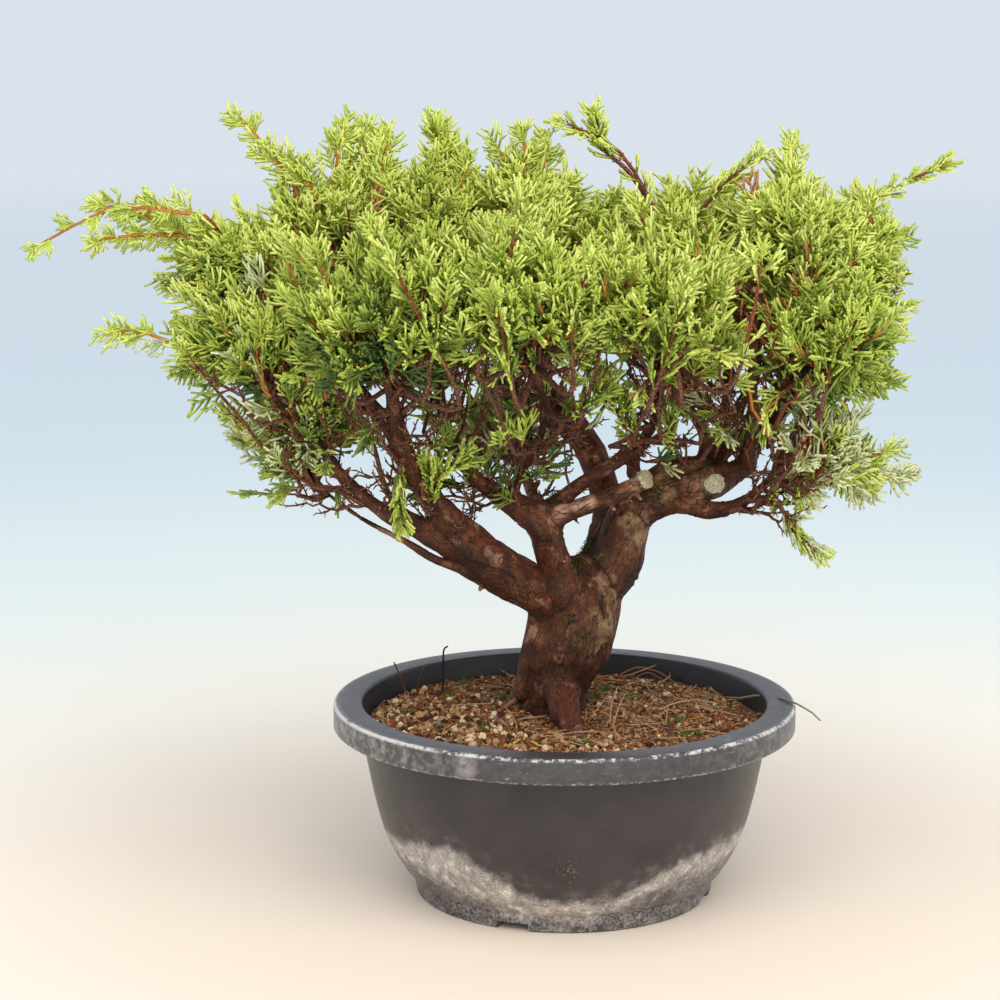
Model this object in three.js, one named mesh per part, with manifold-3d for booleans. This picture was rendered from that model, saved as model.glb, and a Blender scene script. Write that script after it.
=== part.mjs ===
// A Chinese juniper bonsai with fine whipcord foliage, in a round plastic training pot.
// Millimetres, +Z up. The origin is the middle of the pot's flat underside, and the tree is seen along +Y.
// The pot's rim is 230 mm across, and every other size follows from it.

import * as THREE from 'three';
import { mergeVertices } from 'three/addons/utils/BufferGeometryUtils.js';
import Module from 'manifold-3d';

const wasm = await Module();
wasm.setup();

// Driving dimensions of the pot
const POT_SEGMENTS = 32;
const RIM_RADIUS = 115;
const RIM_HEIGHT = 97;
const RIM_TOP_WIDTH = 14;
const LIP_DEPTH = 12.5;
const LIP_THICKNESS = 3;
const LIP_CHAMFER = 1.8;
const WALL_THICKNESS = 3;
const FLOOR_THICKNESS = 7;
const FOOT_RADIUS = 74;
const FOOT_HEIGHT = 9.5;
const FOOT_LEDGE = 1.3;
const OUTER_WALL = [
  [76.5, FOOT_HEIGHT],
  [85, 21],
  [92.5, 39],
  [101, RIM_HEIGHT - LIP_DEPTH],
];
const DRAIN_COUNT = 4;
const FRONT_TURN = -90;
const DRAIN_TURN = -20.6;
const DRAIN_WIDTH = 16;
const DRAIN_DEPTH = 4;
const DRAIN_INNER_END = 32;
const DRAIN_HOLE_RADIUS = 5.5;
const DRAIN_HOLE_SIDES = 8;
const DRAIN_HOLE_AT = 42;

// Driving dimensions of the soil, and the gap that neighbouring solids keep
const SOIL_HEIGHT = 88;
const SOIL_EDGE_DROP = 1.5;
const SOIL_FLAT_RADIUS = 62;
const SOIL_SLACK = 0.1;
const GAP = 0.3;

// Corners closer than this are one corner, and a joined solid's surface may be simplified by this much.
const SAME_CORNER = 1e-4;
const FINEST = 0.03;

// The trunk, from below the soil to its fork. Each row is x, y, z and the radius there.
const TRUNK = {
  name: 'trunk',
  sides: 10,
  steps: 8,
  lobes: { count: 3, depth: 0.07, turn: 0.9 },
  route: [
    [-6, 15, 78, 18.5],
    [-5, 14, 96, 16.6],
    [-3, 12, 108, 19.2],
    [1, 10, 121, 22.2],
    [4, 9, 131, 22.4],
    [6, 8, 141, 21.2],
    [7, 8, 150, 19.4],
    [7, 8, 158, 11],
  ],
};

// Roots that flare out of the trunk's foot, each from inside the trunk to where it dips under the soil.
const ROOT_SHAPE = { sides: 6, steps: 3 };
const ROOTS = [
  { route: [[-4, 8, 104, 10], [-1, -8, 98, 8.6], [2, -24, 91, 6.8], [4, -38, 83, 4.6]] },
  { route: [[-12, 18, 100, 8], [-20, 28, 93, 5.4], [-31, 41, 84, 3]] },
  { route: [[2, 20, 100, 9], [11, 27, 94, 6.4], [22, 36, 83, 3.4]] },
  { route: [[-10, 10, 100, 9], [-19, 6, 93, 6], [-29, 0, 83, 3]] },
];

// Boughs in the order they grow, each after the limb it springs from. A bough starts inside that limb.
const BOUGHS = [
  {
    name: 'bough_left', sides: 8, steps: 8,
    route: [
      [0, 5, 143, 10], [-21, -4, 157, 11], [-47, -18, 178, 10.4], [-63, -34, 202, 6],
      [-77, -46, 226, 4.3], [-81, -57, 249, 3],
    ],
  },
  {
    name: 'bough_left_low', sides: 6, steps: 6,
    route: [
      [-44, -19, 172, 6], [-66, -30, 186, 5.8], [-92, -38, 201, 3.6], [-110, -40, 219, 2.7],
      [-123, -37, 236, 2.1],
    ],
  },
  {
    name: 'bough_left_under', sides: 5, steps: 5,
    route: [
      [-44, -22, 166, 1.9], [-62, -28, 172, 1.7], [-78, -29, 182, 1.6], [-99, -22, 192, 1.4],
      [-118, -13, 204, 1.2],
    ],
  },
  {
    name: 'bough_far_left', sides: 5, steps: 4,
    route: [
      [-75, -44, 222, 3.2], [-90, -38, 246, 2.9], [-112, -24, 272, 2.5], [-132, -12, 293, 2],
    ],
  },
  {
    name: 'bough_upper_left', sides: 5, steps: 4,
    route: [[-79, -50, 233, 3], [-87, -22, 262, 2.7], [-101, 0, 289, 2.3], [-112, 8, 306, 2]],
  },
  {
    name: 'bough_middle', sides: 8, steps: 10,
    route: [
      [0, -2, 148, 8], [-6, -10, 172, 7.8], [-12, -14, 189, 8.4], [-28, -13, 199, 4.8],
      [-45, -12, 211, 3.8], [-58, -14, 236, 3], [-63, -4, 272, 2.5], [-62, 12, 305, 2],
    ],
  },
  {
    name: 'bough_middle_stub', sides: 7, steps: 4,
    route: [[-10, -15, 190, 5], [9, -18, 197, 4.1], [24, -18, 203, 3.9], [38, -18, 210, 4]],
  },
  {
    name: 'bough_middle_riser', sides: 6, steps: 7,
    route: [
      [-10, -11, 193, 4], [10, -6, 208, 3.5], [23, 0, 215, 3.4], [36, 0, 225, 2.9],
      [43, -16, 239, 2.4], [44, -36, 254, 2],
    ],
  },
  {
    name: 'bough_centre_front', sides: 5, steps: 5,
    route: [
      [-28, -13, 199, 2.4], [-21, -19, 215, 2], [-13, -29, 232, 1.9], [-11, -43, 249, 1.8],
      [-14, -57, 263, 1.7],
    ],
  },
  {
    name: 'bough_middle_back', sides: 5, steps: 4,
    route: [[-12, -8, 191, 3.2], [-19, 22, 205, 2.8], [-23, 42, 212, 2.5], [-25, 60, 213, 2.2]],
  },
  {
    name: 'bough_right', sides: 8, steps: 12,
    route: [
      [8, 10, 146, 12], [26, 13, 161, 12], [31, 16, 175, 11.2], [34, 15, 188, 10.6], [51, 8, 197, 8.2],
      [72, 3, 206, 7.4], [88, 6, 213, 4.4], [95, 10, 228, 3.8], [108, 14, 249, 3], [113, 8, 277, 2.5],
      [114, 4, 302, 2],
    ],
  },
  {
    name: 'bough_right_riser', sides: 6, steps: 8,
    route: [
      [68, 5, 207, 4.6], [70, 14, 224, 3.3], [66, 17, 235, 2.8], [55, 13, 247, 2.6],
      [51, 8, 266, 2.4], [50, 13, 289, 2.2], [55, 23, 303, 2],
    ],
  },
  {
    name: 'bough_right_low', sides: 6, steps: 5,
    route: [
      [58, 2, 196, 4.8], [71, -6, 193, 4.1], [82, -12, 196, 3.3], [91, -18, 203, 2.6],
      [99, -24, 212, 2],
    ],
  },
  {
    name: 'bough_right_cut', sides: 6, steps: 4,
    route: [[90, 6, 213, 3.4], [91, -10, 232, 3], [89, -25, 256, 2.8], [90, -34, 303, 2.7]],
  },
  {
    name: 'bough_right_front', sides: 5, steps: 3,
    route: [[94, 9, 224, 2.8], [103, -6, 238, 2.6], [111, -18, 250, 2.3], [118, -27, 261, 2]],
  },
  {
    name: 'bough_far_right', sides: 5, steps: 4,
    route: [[103, 13, 240, 2.8], [123, 22, 261, 2.6], [139, 19, 284, 2.3], [147, 15, 298, 2]],
  },
  {
    name: 'bough_back_right', sides: 5, steps: 4,
    route: [[76, 5, 208, 3.6], [80, 30, 226, 3.1], [84, 54, 246, 2.6], [87, 73, 262, 2.2]],
  },
  {
    name: 'bough_back', sides: 8, steps: 9,
    route: [
      [16, 16, 158, 9], [23, 29, 181, 8.6], [21, 37, 198, 8.1], [12, 46, 218, 7.7],
      [-4, 58, 236, 6.6], [-14, 62, 260, 4.2], [-14, 49, 286, 2.6], [-11, 35, 306, 2],
    ],
  },
  {
    name: 'bough_back_left', sides: 5, steps: 4,
    route: [[6, 51, 226, 4], [-20, 66, 240, 3.2], [-50, 80, 255, 2.7], [-73, 90, 269, 2.2]],
  },
  {
    name: 'bough_back_centre', sides: 5, steps: 3,
    route: [[-5, 58, 238, 3.6], [-10, 78, 252, 2.8], [-12, 96, 271, 2.2]],
  },
];

// Masses of foliage. Each grows from the tip of its bough into a space of its own about its heart, as far as
// its reach in x, y and z. Its whips are the long shoots that stand out of the crown, given by their tips.
const MASSES = [
  { name: 'mass_far_left', bough: 'bough_far_left', heart: [-188, -2, 322], reach: [58, 46, 30],
    whips: [[-264, -10, 318], [-233, 10, 345]] },
  { name: 'mass_left_low', bough: 'bough_left_low', heart: [-166, -28, 264], reach: [50, 42, 30],
    whips: [[-222, -30, 277]] },
  { name: 'mass_left_under', bough: 'bough_left_under', heart: [-132, -14, 224], reach: [38, 38, 24],
    whips: [[-140, -28, 200]] },
  { name: 'mass_upper_left', bough: 'bough_upper_left', heart: [-126, 22, 341], reach: [46, 46, 40],
    whips: [[-163, 0, 382], [-115, 20, 387]] },
  { name: 'mass_front_left', bough: 'bough_left', heart: [-78, -86, 288], reach: [50, 44, 46],
    whips: [] },
  { name: 'mass_front_centre', bough: 'bough_centre_front', heart: [-18, -88, 300], reach: [44, 42, 44],
    whips: [] },
  { name: 'mass_front_right', bough: 'bough_middle_riser', heart: [43, -82, 296], reach: [44, 42, 44],
    whips: [] },
  { name: 'mass_top_left', bough: 'bough_middle', heart: [-64, 24, 348], reach: [44, 44, 38],
    whips: [[-63, 30, 388]] },
  { name: 'mass_top_centre', bough: 'bough_back', heart: [-6, 10, 346], reach: [42, 44, 38],
    whips: [[11, 10, 393], [-19, 0, 384]] },
  { name: 'mass_top_right', bough: 'bough_right_riser', heart: [58, 28, 336], reach: [42, 44, 36],
    whips: [[92, 60, 366]] },
  { name: 'mass_upper_right', bough: 'bough_right', heart: [112, 0, 342], reach: [38, 44, 40],
    whips: [[116, 20, 378], [130, -10, 357]] },
  { name: 'mass_far_right', bough: 'bough_far_right', heart: [149, 14, 328], reach: [32, 44, 38],
    whips: [[190, 0, 365]] },
  { name: 'mass_right', bough: 'bough_right_front', heart: [129, -42, 282], reach: [38, 42, 40],
    whips: [[170, -30, 281]] },
  { name: 'mass_right_low', bough: 'bough_right_low', heart: [138, -34, 220], reach: [38, 36, 28],
    whips: [[174, -30, 208], [121, -40, 172]] },
  { name: 'mass_back_low', bough: 'bough_middle_back', heart: [-30, 92, 211], reach: [36, 30, 26],
    whips: [] },
  { name: 'mass_back_left', bough: 'bough_back_left', heart: [-112, 104, 298], reach: [60, 52, 46],
    whips: [[-178, 112, 322], [-120, 128, 352]] },
  { name: 'mass_back_centre', bough: 'bough_back_centre', heart: [-14, 128, 308], reach: [52, 46, 46],
    whips: [[-22, 168, 348]] },
  { name: 'mass_back_right', bough: 'bough_back_right', heart: [92, 112, 298], reach: [58, 50, 46],
    whips: [[152, 118, 326], [78, 132, 352]] },
];

// The rule by which a mass branches: a stem, then shoots from it to all sides by the golden angle. A shoot is
// a blade, with a stalk and a spray of fingers. Shares are of the length they lie along.
const SHOOTS_PER_MASS = 7;
const SHOOT_SPREAD = 1.5;
const UPWARD_BIAS = 0.5;
const STEM_SIDES = 5;
const STEM_STEPS = 4;
const STEM_LEAD = 0.3;
const STEM_THINNING = 0.9;
const STEM_TIP_RADIUS = 2.2;
const STEM_PLACES = 20;
const BARE_PLACES = 10;
const PLACES_BETWEEN_SHOOTS = 3;
const STALK_ROOT_HALF = 1.2;
const STALK_END_HALF = 0.8;
const LEAST_STALK = 0.3;
const SIDE_SPRAYS = 2;
const SIDE_SPRAY_AT = 0.85;
const SIDE_SPRAY_ANGLE = 0.85;
const SIDE_SPRAY_SCALES = [1, 0.85, 0.7];
const SPRAY_LENGTH = 48;
const SPRAY_HALF_WIDTH = 18;
const SPRAY_ROOT_HALF = 0.6;
const LOWER_TEETH = 2;
const UPPER_TEETH = 1;
const FIRST_TOOTH = 0.12;
const TOOTH_SPACING = 0.2;
const TOOTH_SWEEP = 0.48;
const TOOTH_SHRINK = 0.35;
const NOTCH_SIDE = 0.12;
const BLADE_THICKNESS = 1.6;
const BLADE_CUP = 0.35;
const ROLLS_TRIED = 8;

// How far shoots keep from one another, from limbs and from the next mass, and how they shrink to fit
const SPRAY_CLEARANCE = 5.5;
const LIMB_CLEARANCE = 2.2;
const LIMB_PLACES = 40;
const SPACE_MARGIN = 0.075;
const LEAST_REACH = 0.3;
const REACH_STEP = 0.07;
const SEED = 909;

const BARK = { color: 0x6b4032, roughness: 0.9, metalness: 0 };
const FOLIAGE = { color: 0x8faa3f, roughness: 0.75, metalness: 0 };
const POT_PLASTIC = { color: 0x34343a, roughness: 0.5, metalness: 0 };
const SOIL = { color: 0x6f5340, roughness: 1, metalness: 0 };

const UP = new THREE.Vector3(0, 0, 1);
const GOLDEN_ANGLE = Math.PI * (3 - Math.sqrt(5));

// A stream of numbers from 0 to 1 that is the same each run.
function seeded(seed) {
  let state = seed >>> 0;
  return () => {
    state = (state + 0x6d2b79f5) >>> 0;
    let mixed = Math.imul(state ^ (state >>> 15), 1 | state);
    mixed = (mixed + Math.imul(mixed ^ (mixed >>> 7), 61 | mixed)) ^ mixed;
    return ((mixed ^ (mixed >>> 14)) >>> 0) / 4294967296;
  };
}

// A closed geometry as a solid: shared corners are merged and faces with no area are left out.
function solidFrom(geometry) {
  const bare = geometry.clone();
  bare.deleteAttribute('normal');
  bare.deleteAttribute('uv');
  const merged = mergeVertices(bare, SAME_CORNER);
  const faces = [];
  for (let i = 0; i < merged.index.count; i += 3) {
    const [a, b, c] = [0, 1, 2].map((k) => merged.index.getX(i + k));
    if (a !== b && b !== c && c !== a) faces.push(a, b, c);
  }
  return new wasm.Manifold(new wasm.Mesh({
    numProp: 3,
    vertProperties: merged.attributes.position.array,
    triVerts: new Uint32Array(faces),
  }));
}

// A solid as a geometry with flat faces.
function geometryFrom(solid) {
  const { vertProperties, triVerts } = solid.getMesh();
  const geometry = new THREE.BufferGeometry();
  geometry.setAttribute('position', new THREE.BufferAttribute(vertProperties, 3));
  geometry.setIndex(new THREE.BufferAttribute(triVerts, 1));
  geometry.computeVertexNormals();
  return geometry;
}

// Several solids joined, keeping only the largest body of the result.
function fused(solids) {
  const joined = solids.reduce((whole, solid) => whole.add(solid));
  return largestBody(joined).simplify(FINEST);
}

function largestBody(solid) {
  return solid.decompose().reduce((best, body) => (body.volume() > best.volume() ? body : best));
}

function meshOf(name, solid, look) {
  const mesh = new THREE.Mesh(geometryFrom(solid), new THREE.MeshStandardMaterial(look));
  mesh.name = name;
  return mesh;
}

// The centre line of a limb as evenly numbered points, with tangents, two directions across and radii.
function ringsAlong({ route, steps }) {
  const places = route.map(([x, y, z]) => new THREE.Vector3(x, y, z));
  const curve = new THREE.CatmullRomCurve3(places, false, 'centripetal');
  const rings = [];
  let across = new THREE.Vector3(1, 0, 0);
  for (let i = 0; i <= steps; i += 1) {
    const t = i / steps;
    const tangent = curve.getTangent(t);
    across = across.clone().addScaledVector(tangent, -across.dot(tangent)).normalize();
    const place = Math.min(t * (route.length - 1), route.length - 1 - 1e-9);
    const low = Math.floor(place);
    const radius = THREE.MathUtils.lerp(route[low][3], route[low + 1][3], place - low);
    rings.push({ point: curve.getPoint(t), tangent, across, beside: tangent.clone().cross(across), radius });
  }
  return rings;
}

// A tapering bar with flat ends along a limb's route. It can be grown all round, ends included.
function limbSolid(limb, grow = 0) {
  const rings = ringsAlong(limb);
  const { sides, steps, lobes = { count: 0, depth: 0, turn: 0 } } = limb;
  const bar = new THREE.CylinderGeometry(1, 1, 1, sides, steps);
  const corner = bar.attributes.position;
  for (let i = 0; i < corner.count; i += 1) {
    const index = Math.round((corner.getY(i) + 0.5) * steps);
    const ring = rings[index];
    const angle = Math.atan2(corner.getZ(i), corner.getX(i));
    const swell = 1 + lobes.depth * Math.cos(lobes.count * angle + lobes.turn * index);
    const reach = ring.radius * swell + grow;
    const place = ring.point.clone();
    place.addScaledVector(ring.beside, corner.getX(i) * reach);
    place.addScaledVector(ring.across, corner.getZ(i) * reach);
    if (index === 0) place.addScaledVector(ring.tangent, -grow);
    if (index === steps) place.addScaledVector(ring.tangent, grow);
    corner.setXYZ(i, place.x, place.y, place.z);
  }
  return solidFrom(bar);
}

// The trunk with its roots, cut flat a little above the soil.
function trunkSolid(grow = 0) {
  const roots = ROOTS.map((root) => limbSolid({ ...ROOT_SHAPE, ...root }, grow));
  const whole = fused([limbSolid(TRUNK, grow), ...roots]);
  const below = new THREE.BoxGeometry(RIM_RADIUS, RIM_RADIUS, SOIL_HEIGHT);
  below.translate(0, 0, SOIL_HEIGHT / 2 + GAP);
  return whole.subtract(solidFrom(below));
}

// Each bough, cut clear of the trunk and of the boughs before it.
function boughSolids() {
  const inTheWay = [trunkSolid(GAP)];
  return BOUGHS.map((bough) => {
    const free = inTheWay.reduce((solid, other) => solid.subtract(other), limbSolid(bough));
    inTheWay.push(limbSolid(bough, GAP));
    return { name: bough.name, solid: largestBody(free) };
  });
}

// Points along every limb with the radius there, for keeping foliage clear of the wood.
const LIMB_POINTS = [TRUNK, ...BOUGHS].flatMap((limb) => ringsAlong({ ...limb, steps: LIMB_PLACES })
  .map(({ point, radius }) => ({ point, radius, limb: limb.name })));

function clearOfWood(point, except = '') {
  return LIMB_POINTS.every(({ point: centre, radius, limb }) => (
    limb === except || centre.distanceTo(point) > radius + LIMB_CLEARANCE));
}

// How far out a point is in a mass: 0 at its heart and 1 at its reach.
function depthIn(mass, point) {
  const [x, y, z] = point.toArray().map((value, k) => (value - mass.heart[k]) / mass.reach[k]);
  return Math.hypot(x, y, z);
}

// Whether a point is in the mass's own space, which ends where another mass is as near.
function roomAt(mass, point) {
  const own = depthIn(mass, point);
  return MASSES.every((other) => other === mass || depthIn(other, point) > own + SPACE_MARGIN);
}

// The tips and notches down one side of a spray, from its root to its end, as shares of its size.
function teeth(first, count) {
  return Array.from({ length: count }, (_, k) => {
    const root = first + k * TOOTH_SPACING;
    return [[root + TOOTH_SWEEP, 1 - TOOTH_SHRINK * k], [root + TOOTH_SPACING, NOTCH_SIDE]];
  }).flat();
}

const SPRAY_EDGE = [
  ...teeth(FIRST_TOOTH, LOWER_TEETH).map(([along, side]) => [along, -side]),
  [1, 0],
  ...teeth(FIRST_TOOTH + TOOTH_SPACING / 2, UPPER_TEETH).reverse(),
];

// The outline of a shoot seen flat, in millimetres: a stalk, which may be left out, and then a spray with a
// middle finger and shorter ones that leave it to either side in turn.
function shootOutline(stalk, size) {
  const [length, halfWidth] = [SPRAY_LENGTH * size, SPRAY_HALF_WIDTH * size];
  const edge = SPRAY_EDGE.map(([along, side]) => [stalk + along * length, side * halfWidth]);
  const stalkSide = stalk > 0 ? [[0, -STALK_ROOT_HALF], [stalk, -STALK_END_HALF]] : [[0, -SPRAY_ROOT_HALF]];
  return [...stalkSide, ...edge, ...stalkSide.map(([along, side]) => [along, -side]).reverse()];
}

// A shoot as a blade of even thickness along +X, with its fingers cupped to one side.
function shootGeometry(outline) {
  const shape = new THREE.Shape(outline.map(([along, side]) => new THREE.Vector2(along, side)));
  const blade = new THREE.ExtrudeGeometry(shape, { depth: BLADE_THICKNESS, bevelEnabled: false });
  const corner = blade.attributes.position;
  for (let i = 0; i < corner.count; i += 1) {
    corner.setZ(i, corner.getZ(i) - BLADE_THICKNESS / 2 + BLADE_CUP * Math.abs(corner.getY(i)));
  }
  return blade;
}

// The placing of a shoot: its root, the way it points, and its turn about that way.
function shootPlacing(root, direction, roll) {
  const along = direction.clone().normalize();
  const flat = Math.abs(along.z) > 0.95 ? new THREE.Vector3(1, 0, 0) : UP.clone();
  const side = flat.cross(along).normalize().applyAxisAngle(along, roll);
  return new THREE.Matrix4().makeBasis(along, side, along.clone().cross(side)).setPosition(root);
}

// Whether a point is in the mass's space, off the wood, and off what the mass already holds.
function isFree(mass, point, taken) {
  return roomAt(mass, point) && clearOfWood(point, mass.bough)
    && taken.every((other) => other.distanceTo(point) > SPRAY_CLEARANCE);
}

// A shoot at the first turn that keeps it free, or nothing. What it takes up is added to what is taken.
function fittedShoot(mass, root, direction, outline, taken, rng) {
  for (let turn = 0; turn < ROLLS_TRIED; turn += 1) {
    const placing = shootPlacing(root, direction, rng() * Math.PI * 2);
    const probes = outline.slice(1, -1)
      .map(([along, side]) => new THREE.Vector3(along, side, BLADE_CUP * Math.abs(side)))
      .map((probe) => probe.applyMatrix4(placing))
      .filter((probe) => probe.distanceTo(root) > SPRAY_CLEARANCE);
    if (probes.every((probe) => isFree(mass, probe, taken))) {
      taken.push(...probes);
      return solidFrom(shootGeometry(outline).applyMatrix4(placing));
    }
  }
  return null;
}

// Ways out of a mass, turned by the golden angle about its own growing direction.
function waysOut(axis, count, rng) {
  const turn = new THREE.Quaternion().setFromUnitVectors(UP, axis);
  const phase = rng() * Math.PI * 2;
  return Array.from({ length: count }, (_, i) => {
    const rise = 1 - (SHOOT_SPREAD * (i + 0.5)) / count;
    const wide = Math.sqrt(1 - rise * rise);
    const angle = phase + GOLDEN_ANGLE * i;
    return new THREE.Vector3(wide * Math.cos(angle), wide * Math.sin(angle), rise).applyQuaternion(turn);
  });
}

// The farthest point from the heart towards a target that is still in the mass's space, or nothing.
function reachable(mass, heart, target) {
  for (let share = 1; share > LEAST_REACH; share -= REACH_STEP) {
    const point = heart.clone().lerp(target, share);
    if (roomAt(mass, point) && clearOfWood(point)) return point;
  }
  return null;
}

// A spray without a stalk, out to one side of a way, at the largest size that fits, or nothing.
function sideSpray(mass, root, along, taken, rng) {
  const off = new THREE.Vector3(along.y, -along.x, 0).normalize().applyAxisAngle(along, rng() * Math.PI * 2);
  const way = along.clone().applyAxisAngle(off, SIDE_SPRAY_ANGLE);
  for (const scale of SIDE_SPRAY_SCALES) {
    const spray = fittedShoot(mass, root, way, shootOutline(0, scale), taken, rng);
    if (spray) return spray;
  }
  return null;
}

// A shoot from the stem to a target, with a side spray near the end of its stalk if one is asked for.
function shootSolids(mass, start, target, taken, wantsSide, rng) {
  const length = start.distanceTo(target);
  const along = target.clone().sub(start).normalize();
  const size = Math.min(1, ((1 - LEAST_STALK) * length) / SPRAY_LENGTH);
  const stalk = length - size * SPRAY_LENGTH;
  const shoot = fittedShoot(mass, start, along, shootOutline(stalk, size), taken, rng);
  if (!shoot || !wantsSide) return [shoot];
  const fork = start.clone().addScaledVector(along, stalk * SIDE_SPRAY_AT);
  return [shoot, sideSpray(mass, fork, along, taken, rng)];
}

// The stem of a mass, which goes on from its bough's tip to the mass's heart.
function stemOf(mass) {
  const tip = ringsAlong(BOUGHS.find(({ name }) => name === mass.bough)).at(-1);
  const heart = new THREE.Vector3(...mass.heart);
  const root = tip.point.clone().addScaledVector(tip.tangent, GAP);
  const lead = root.clone().addScaledVector(tip.tangent, STEM_LEAD * root.distanceTo(heart));
  const route = [
    [...root.toArray(), tip.radius],
    [...lead.toArray(), tip.radius * STEM_THINNING],
    [...mass.heart, STEM_TIP_RADIUS],
  ];
  return { sides: STEM_SIDES, steps: STEM_STEPS, route };
}

// A mass: its stem, the whips that stand out of it, and shoots from the stem to all sides.
function massSolid(mass, seed) {
  const rng = seeded(seed);
  const stem = stemOf(mass);
  const places = ringsAlong({ ...stem, steps: STEM_PLACES }).map(({ point }) => point);
  const heart = places.at(-1);
  const axis = heart.clone().sub(places[0]).normalize().addScaledVector(UP, UPWARD_BIAS).normalize();
  const whips = mass.whips.map((whip) => new THREE.Vector3(...whip));
  const others = waysOut(axis, SHOOTS_PER_MASS, rng)
    .map((way) => heart.clone().add(way.multiply(new THREE.Vector3(...mass.reach))))
    .map((target) => reachable(mass, heart, target));
  const taken = [];
  const shoots = [...whips, ...others].filter(Boolean).flatMap((target, i) => {
    const place = BARE_PLACES + ((i * PLACES_BETWEEN_SHOOTS) % (STEM_PLACES - BARE_PLACES));
    return shootSolids(mass, places[place], target, taken, i < SIDE_SPRAYS, rng);
  });
  return fused([limbSolid(stem), ...shoots.filter(Boolean)]);
}

// A profile of radius and height turned about the pot's axis.
function turnedSolid(profile) {
  const turned = new THREE.LatheGeometry(profile.map(([r, z]) => new THREE.Vector2(r, z)), POT_SEGMENTS);
  return solidFrom(turned.rotateX(Math.PI / 2));
}

// The inside of the pot from the middle of its floor up its wall, at a distance in from the outer wall.
function insideRows(inward, floorHeight) {
  const wall = OUTER_WALL.slice(1).map(([radius, height]) => [radius - inward, height]);
  return [[0, floorHeight], [FOOT_RADIUS - inward, floorHeight], ...wall];
}

// The pot's outline turned about its axis, from the middle of the floor out over the rim to the underside.
function potSolid() {
  const profile = [
    ...insideRows(WALL_THICKNESS, FLOOR_THICKNESS),
    [RIM_RADIUS - RIM_TOP_WIDTH, RIM_HEIGHT],
    [RIM_RADIUS - LIP_CHAMFER, RIM_HEIGHT],
    [RIM_RADIUS, RIM_HEIGHT - LIP_CHAMFER],
    [RIM_RADIUS, RIM_HEIGHT - LIP_DEPTH],
    [RIM_RADIUS - LIP_THICKNESS, RIM_HEIGHT - LIP_DEPTH],
    [RIM_RADIUS - LIP_THICKNESS, RIM_HEIGHT - LIP_THICKNESS],
    [RIM_RADIUS - RIM_TOP_WIDTH + WALL_THICKNESS, RIM_HEIGHT - LIP_THICKNESS],
    ...[...OUTER_WALL].reverse(),
    [FOOT_RADIUS + FOOT_LEDGE, FOOT_HEIGHT],
    [FOOT_RADIUS, 0],
    [0, 0],
  ];
  return drained(turnedSolid([...profile].reverse()));
}

// Channels under the pot that lead water from its drain holes out through the foot.
function drained(pot) {
  const length = OUTER_WALL[0][0] - DRAIN_INNER_END + 1;
  const cuts = Array.from({ length: DRAIN_COUNT }, (_, i) => {
    const turn = THREE.MathUtils.degToRad(FRONT_TURN + DRAIN_TURN + (360 / DRAIN_COUNT) * i);
    const channel = new THREE.BoxGeometry(length, DRAIN_WIDTH, DRAIN_DEPTH * 2);
    channel.translate(DRAIN_INNER_END + length / 2, 0, 0);
    const [radius, depth] = [DRAIN_HOLE_RADIUS, FLOOR_THICKNESS * 4];
    const hole = new THREE.CylinderGeometry(radius, radius, depth, DRAIN_HOLE_SIDES);
    hole.rotateX(Math.PI / 2);
    hole.translate(DRAIN_HOLE_AT, 0, 0);
    return [channel, hole].map((cut) => solidFrom(cut.rotateZ(turn)));
  }).flat();
  return cuts.reduce((solid, cut) => solid.subtract(cut), pot);
}

// The soil fills the pot to a flat top that falls a little towards the wall.
function soilSolid() {
  const [topOuter, topHeight] = OUTER_WALL.at(-1);
  const innerRim = RIM_RADIUS - RIM_TOP_WIDTH;
  const height = SOIL_HEIGHT - SOIL_EDGE_DROP;
  const share = (height - topHeight) / (RIM_HEIGHT - topHeight);
  const wallThere = THREE.MathUtils.lerp(topOuter - WALL_THICKNESS, innerRim, share);
  const profile = [
    ...insideRows(WALL_THICKNESS + GAP + SOIL_SLACK, FLOOR_THICKNESS + GAP),
    [wallThere - GAP - SOIL_SLACK, height],
    [SOIL_FLAT_RADIUS, SOIL_HEIGHT],
    [0, SOIL_HEIGHT],
  ];
  return turnedSolid(profile);
}

const bonsai = new THREE.Group();
bonsai.add(meshOf('pot', potSolid(), POT_PLASTIC));
bonsai.add(meshOf('soil', soilSolid(), SOIL));
bonsai.add(meshOf('trunk', trunkSolid(), BARK));
boughSolids().forEach(({ name, solid }) => bonsai.add(meshOf(name, solid, BARK)));
MASSES.forEach((mass, i) => bonsai.add(meshOf(mass.name, massSolid(mass, SEED + i), FOLIAGE)));

export default bonsai;
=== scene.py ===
"""A potted juniper bonsai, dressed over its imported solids.

Sizes and places are in millimetres, as in the solids' own source, and become metres where a mesh is made. The
tree is seen along +Y, its origin is the middle of the pot's flat underside, and up is +Z.
"""

import logging
import math
from dataclasses import dataclass, field
from enum import Enum
from functools import cached_property
from typing import Sequence, Union

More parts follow.
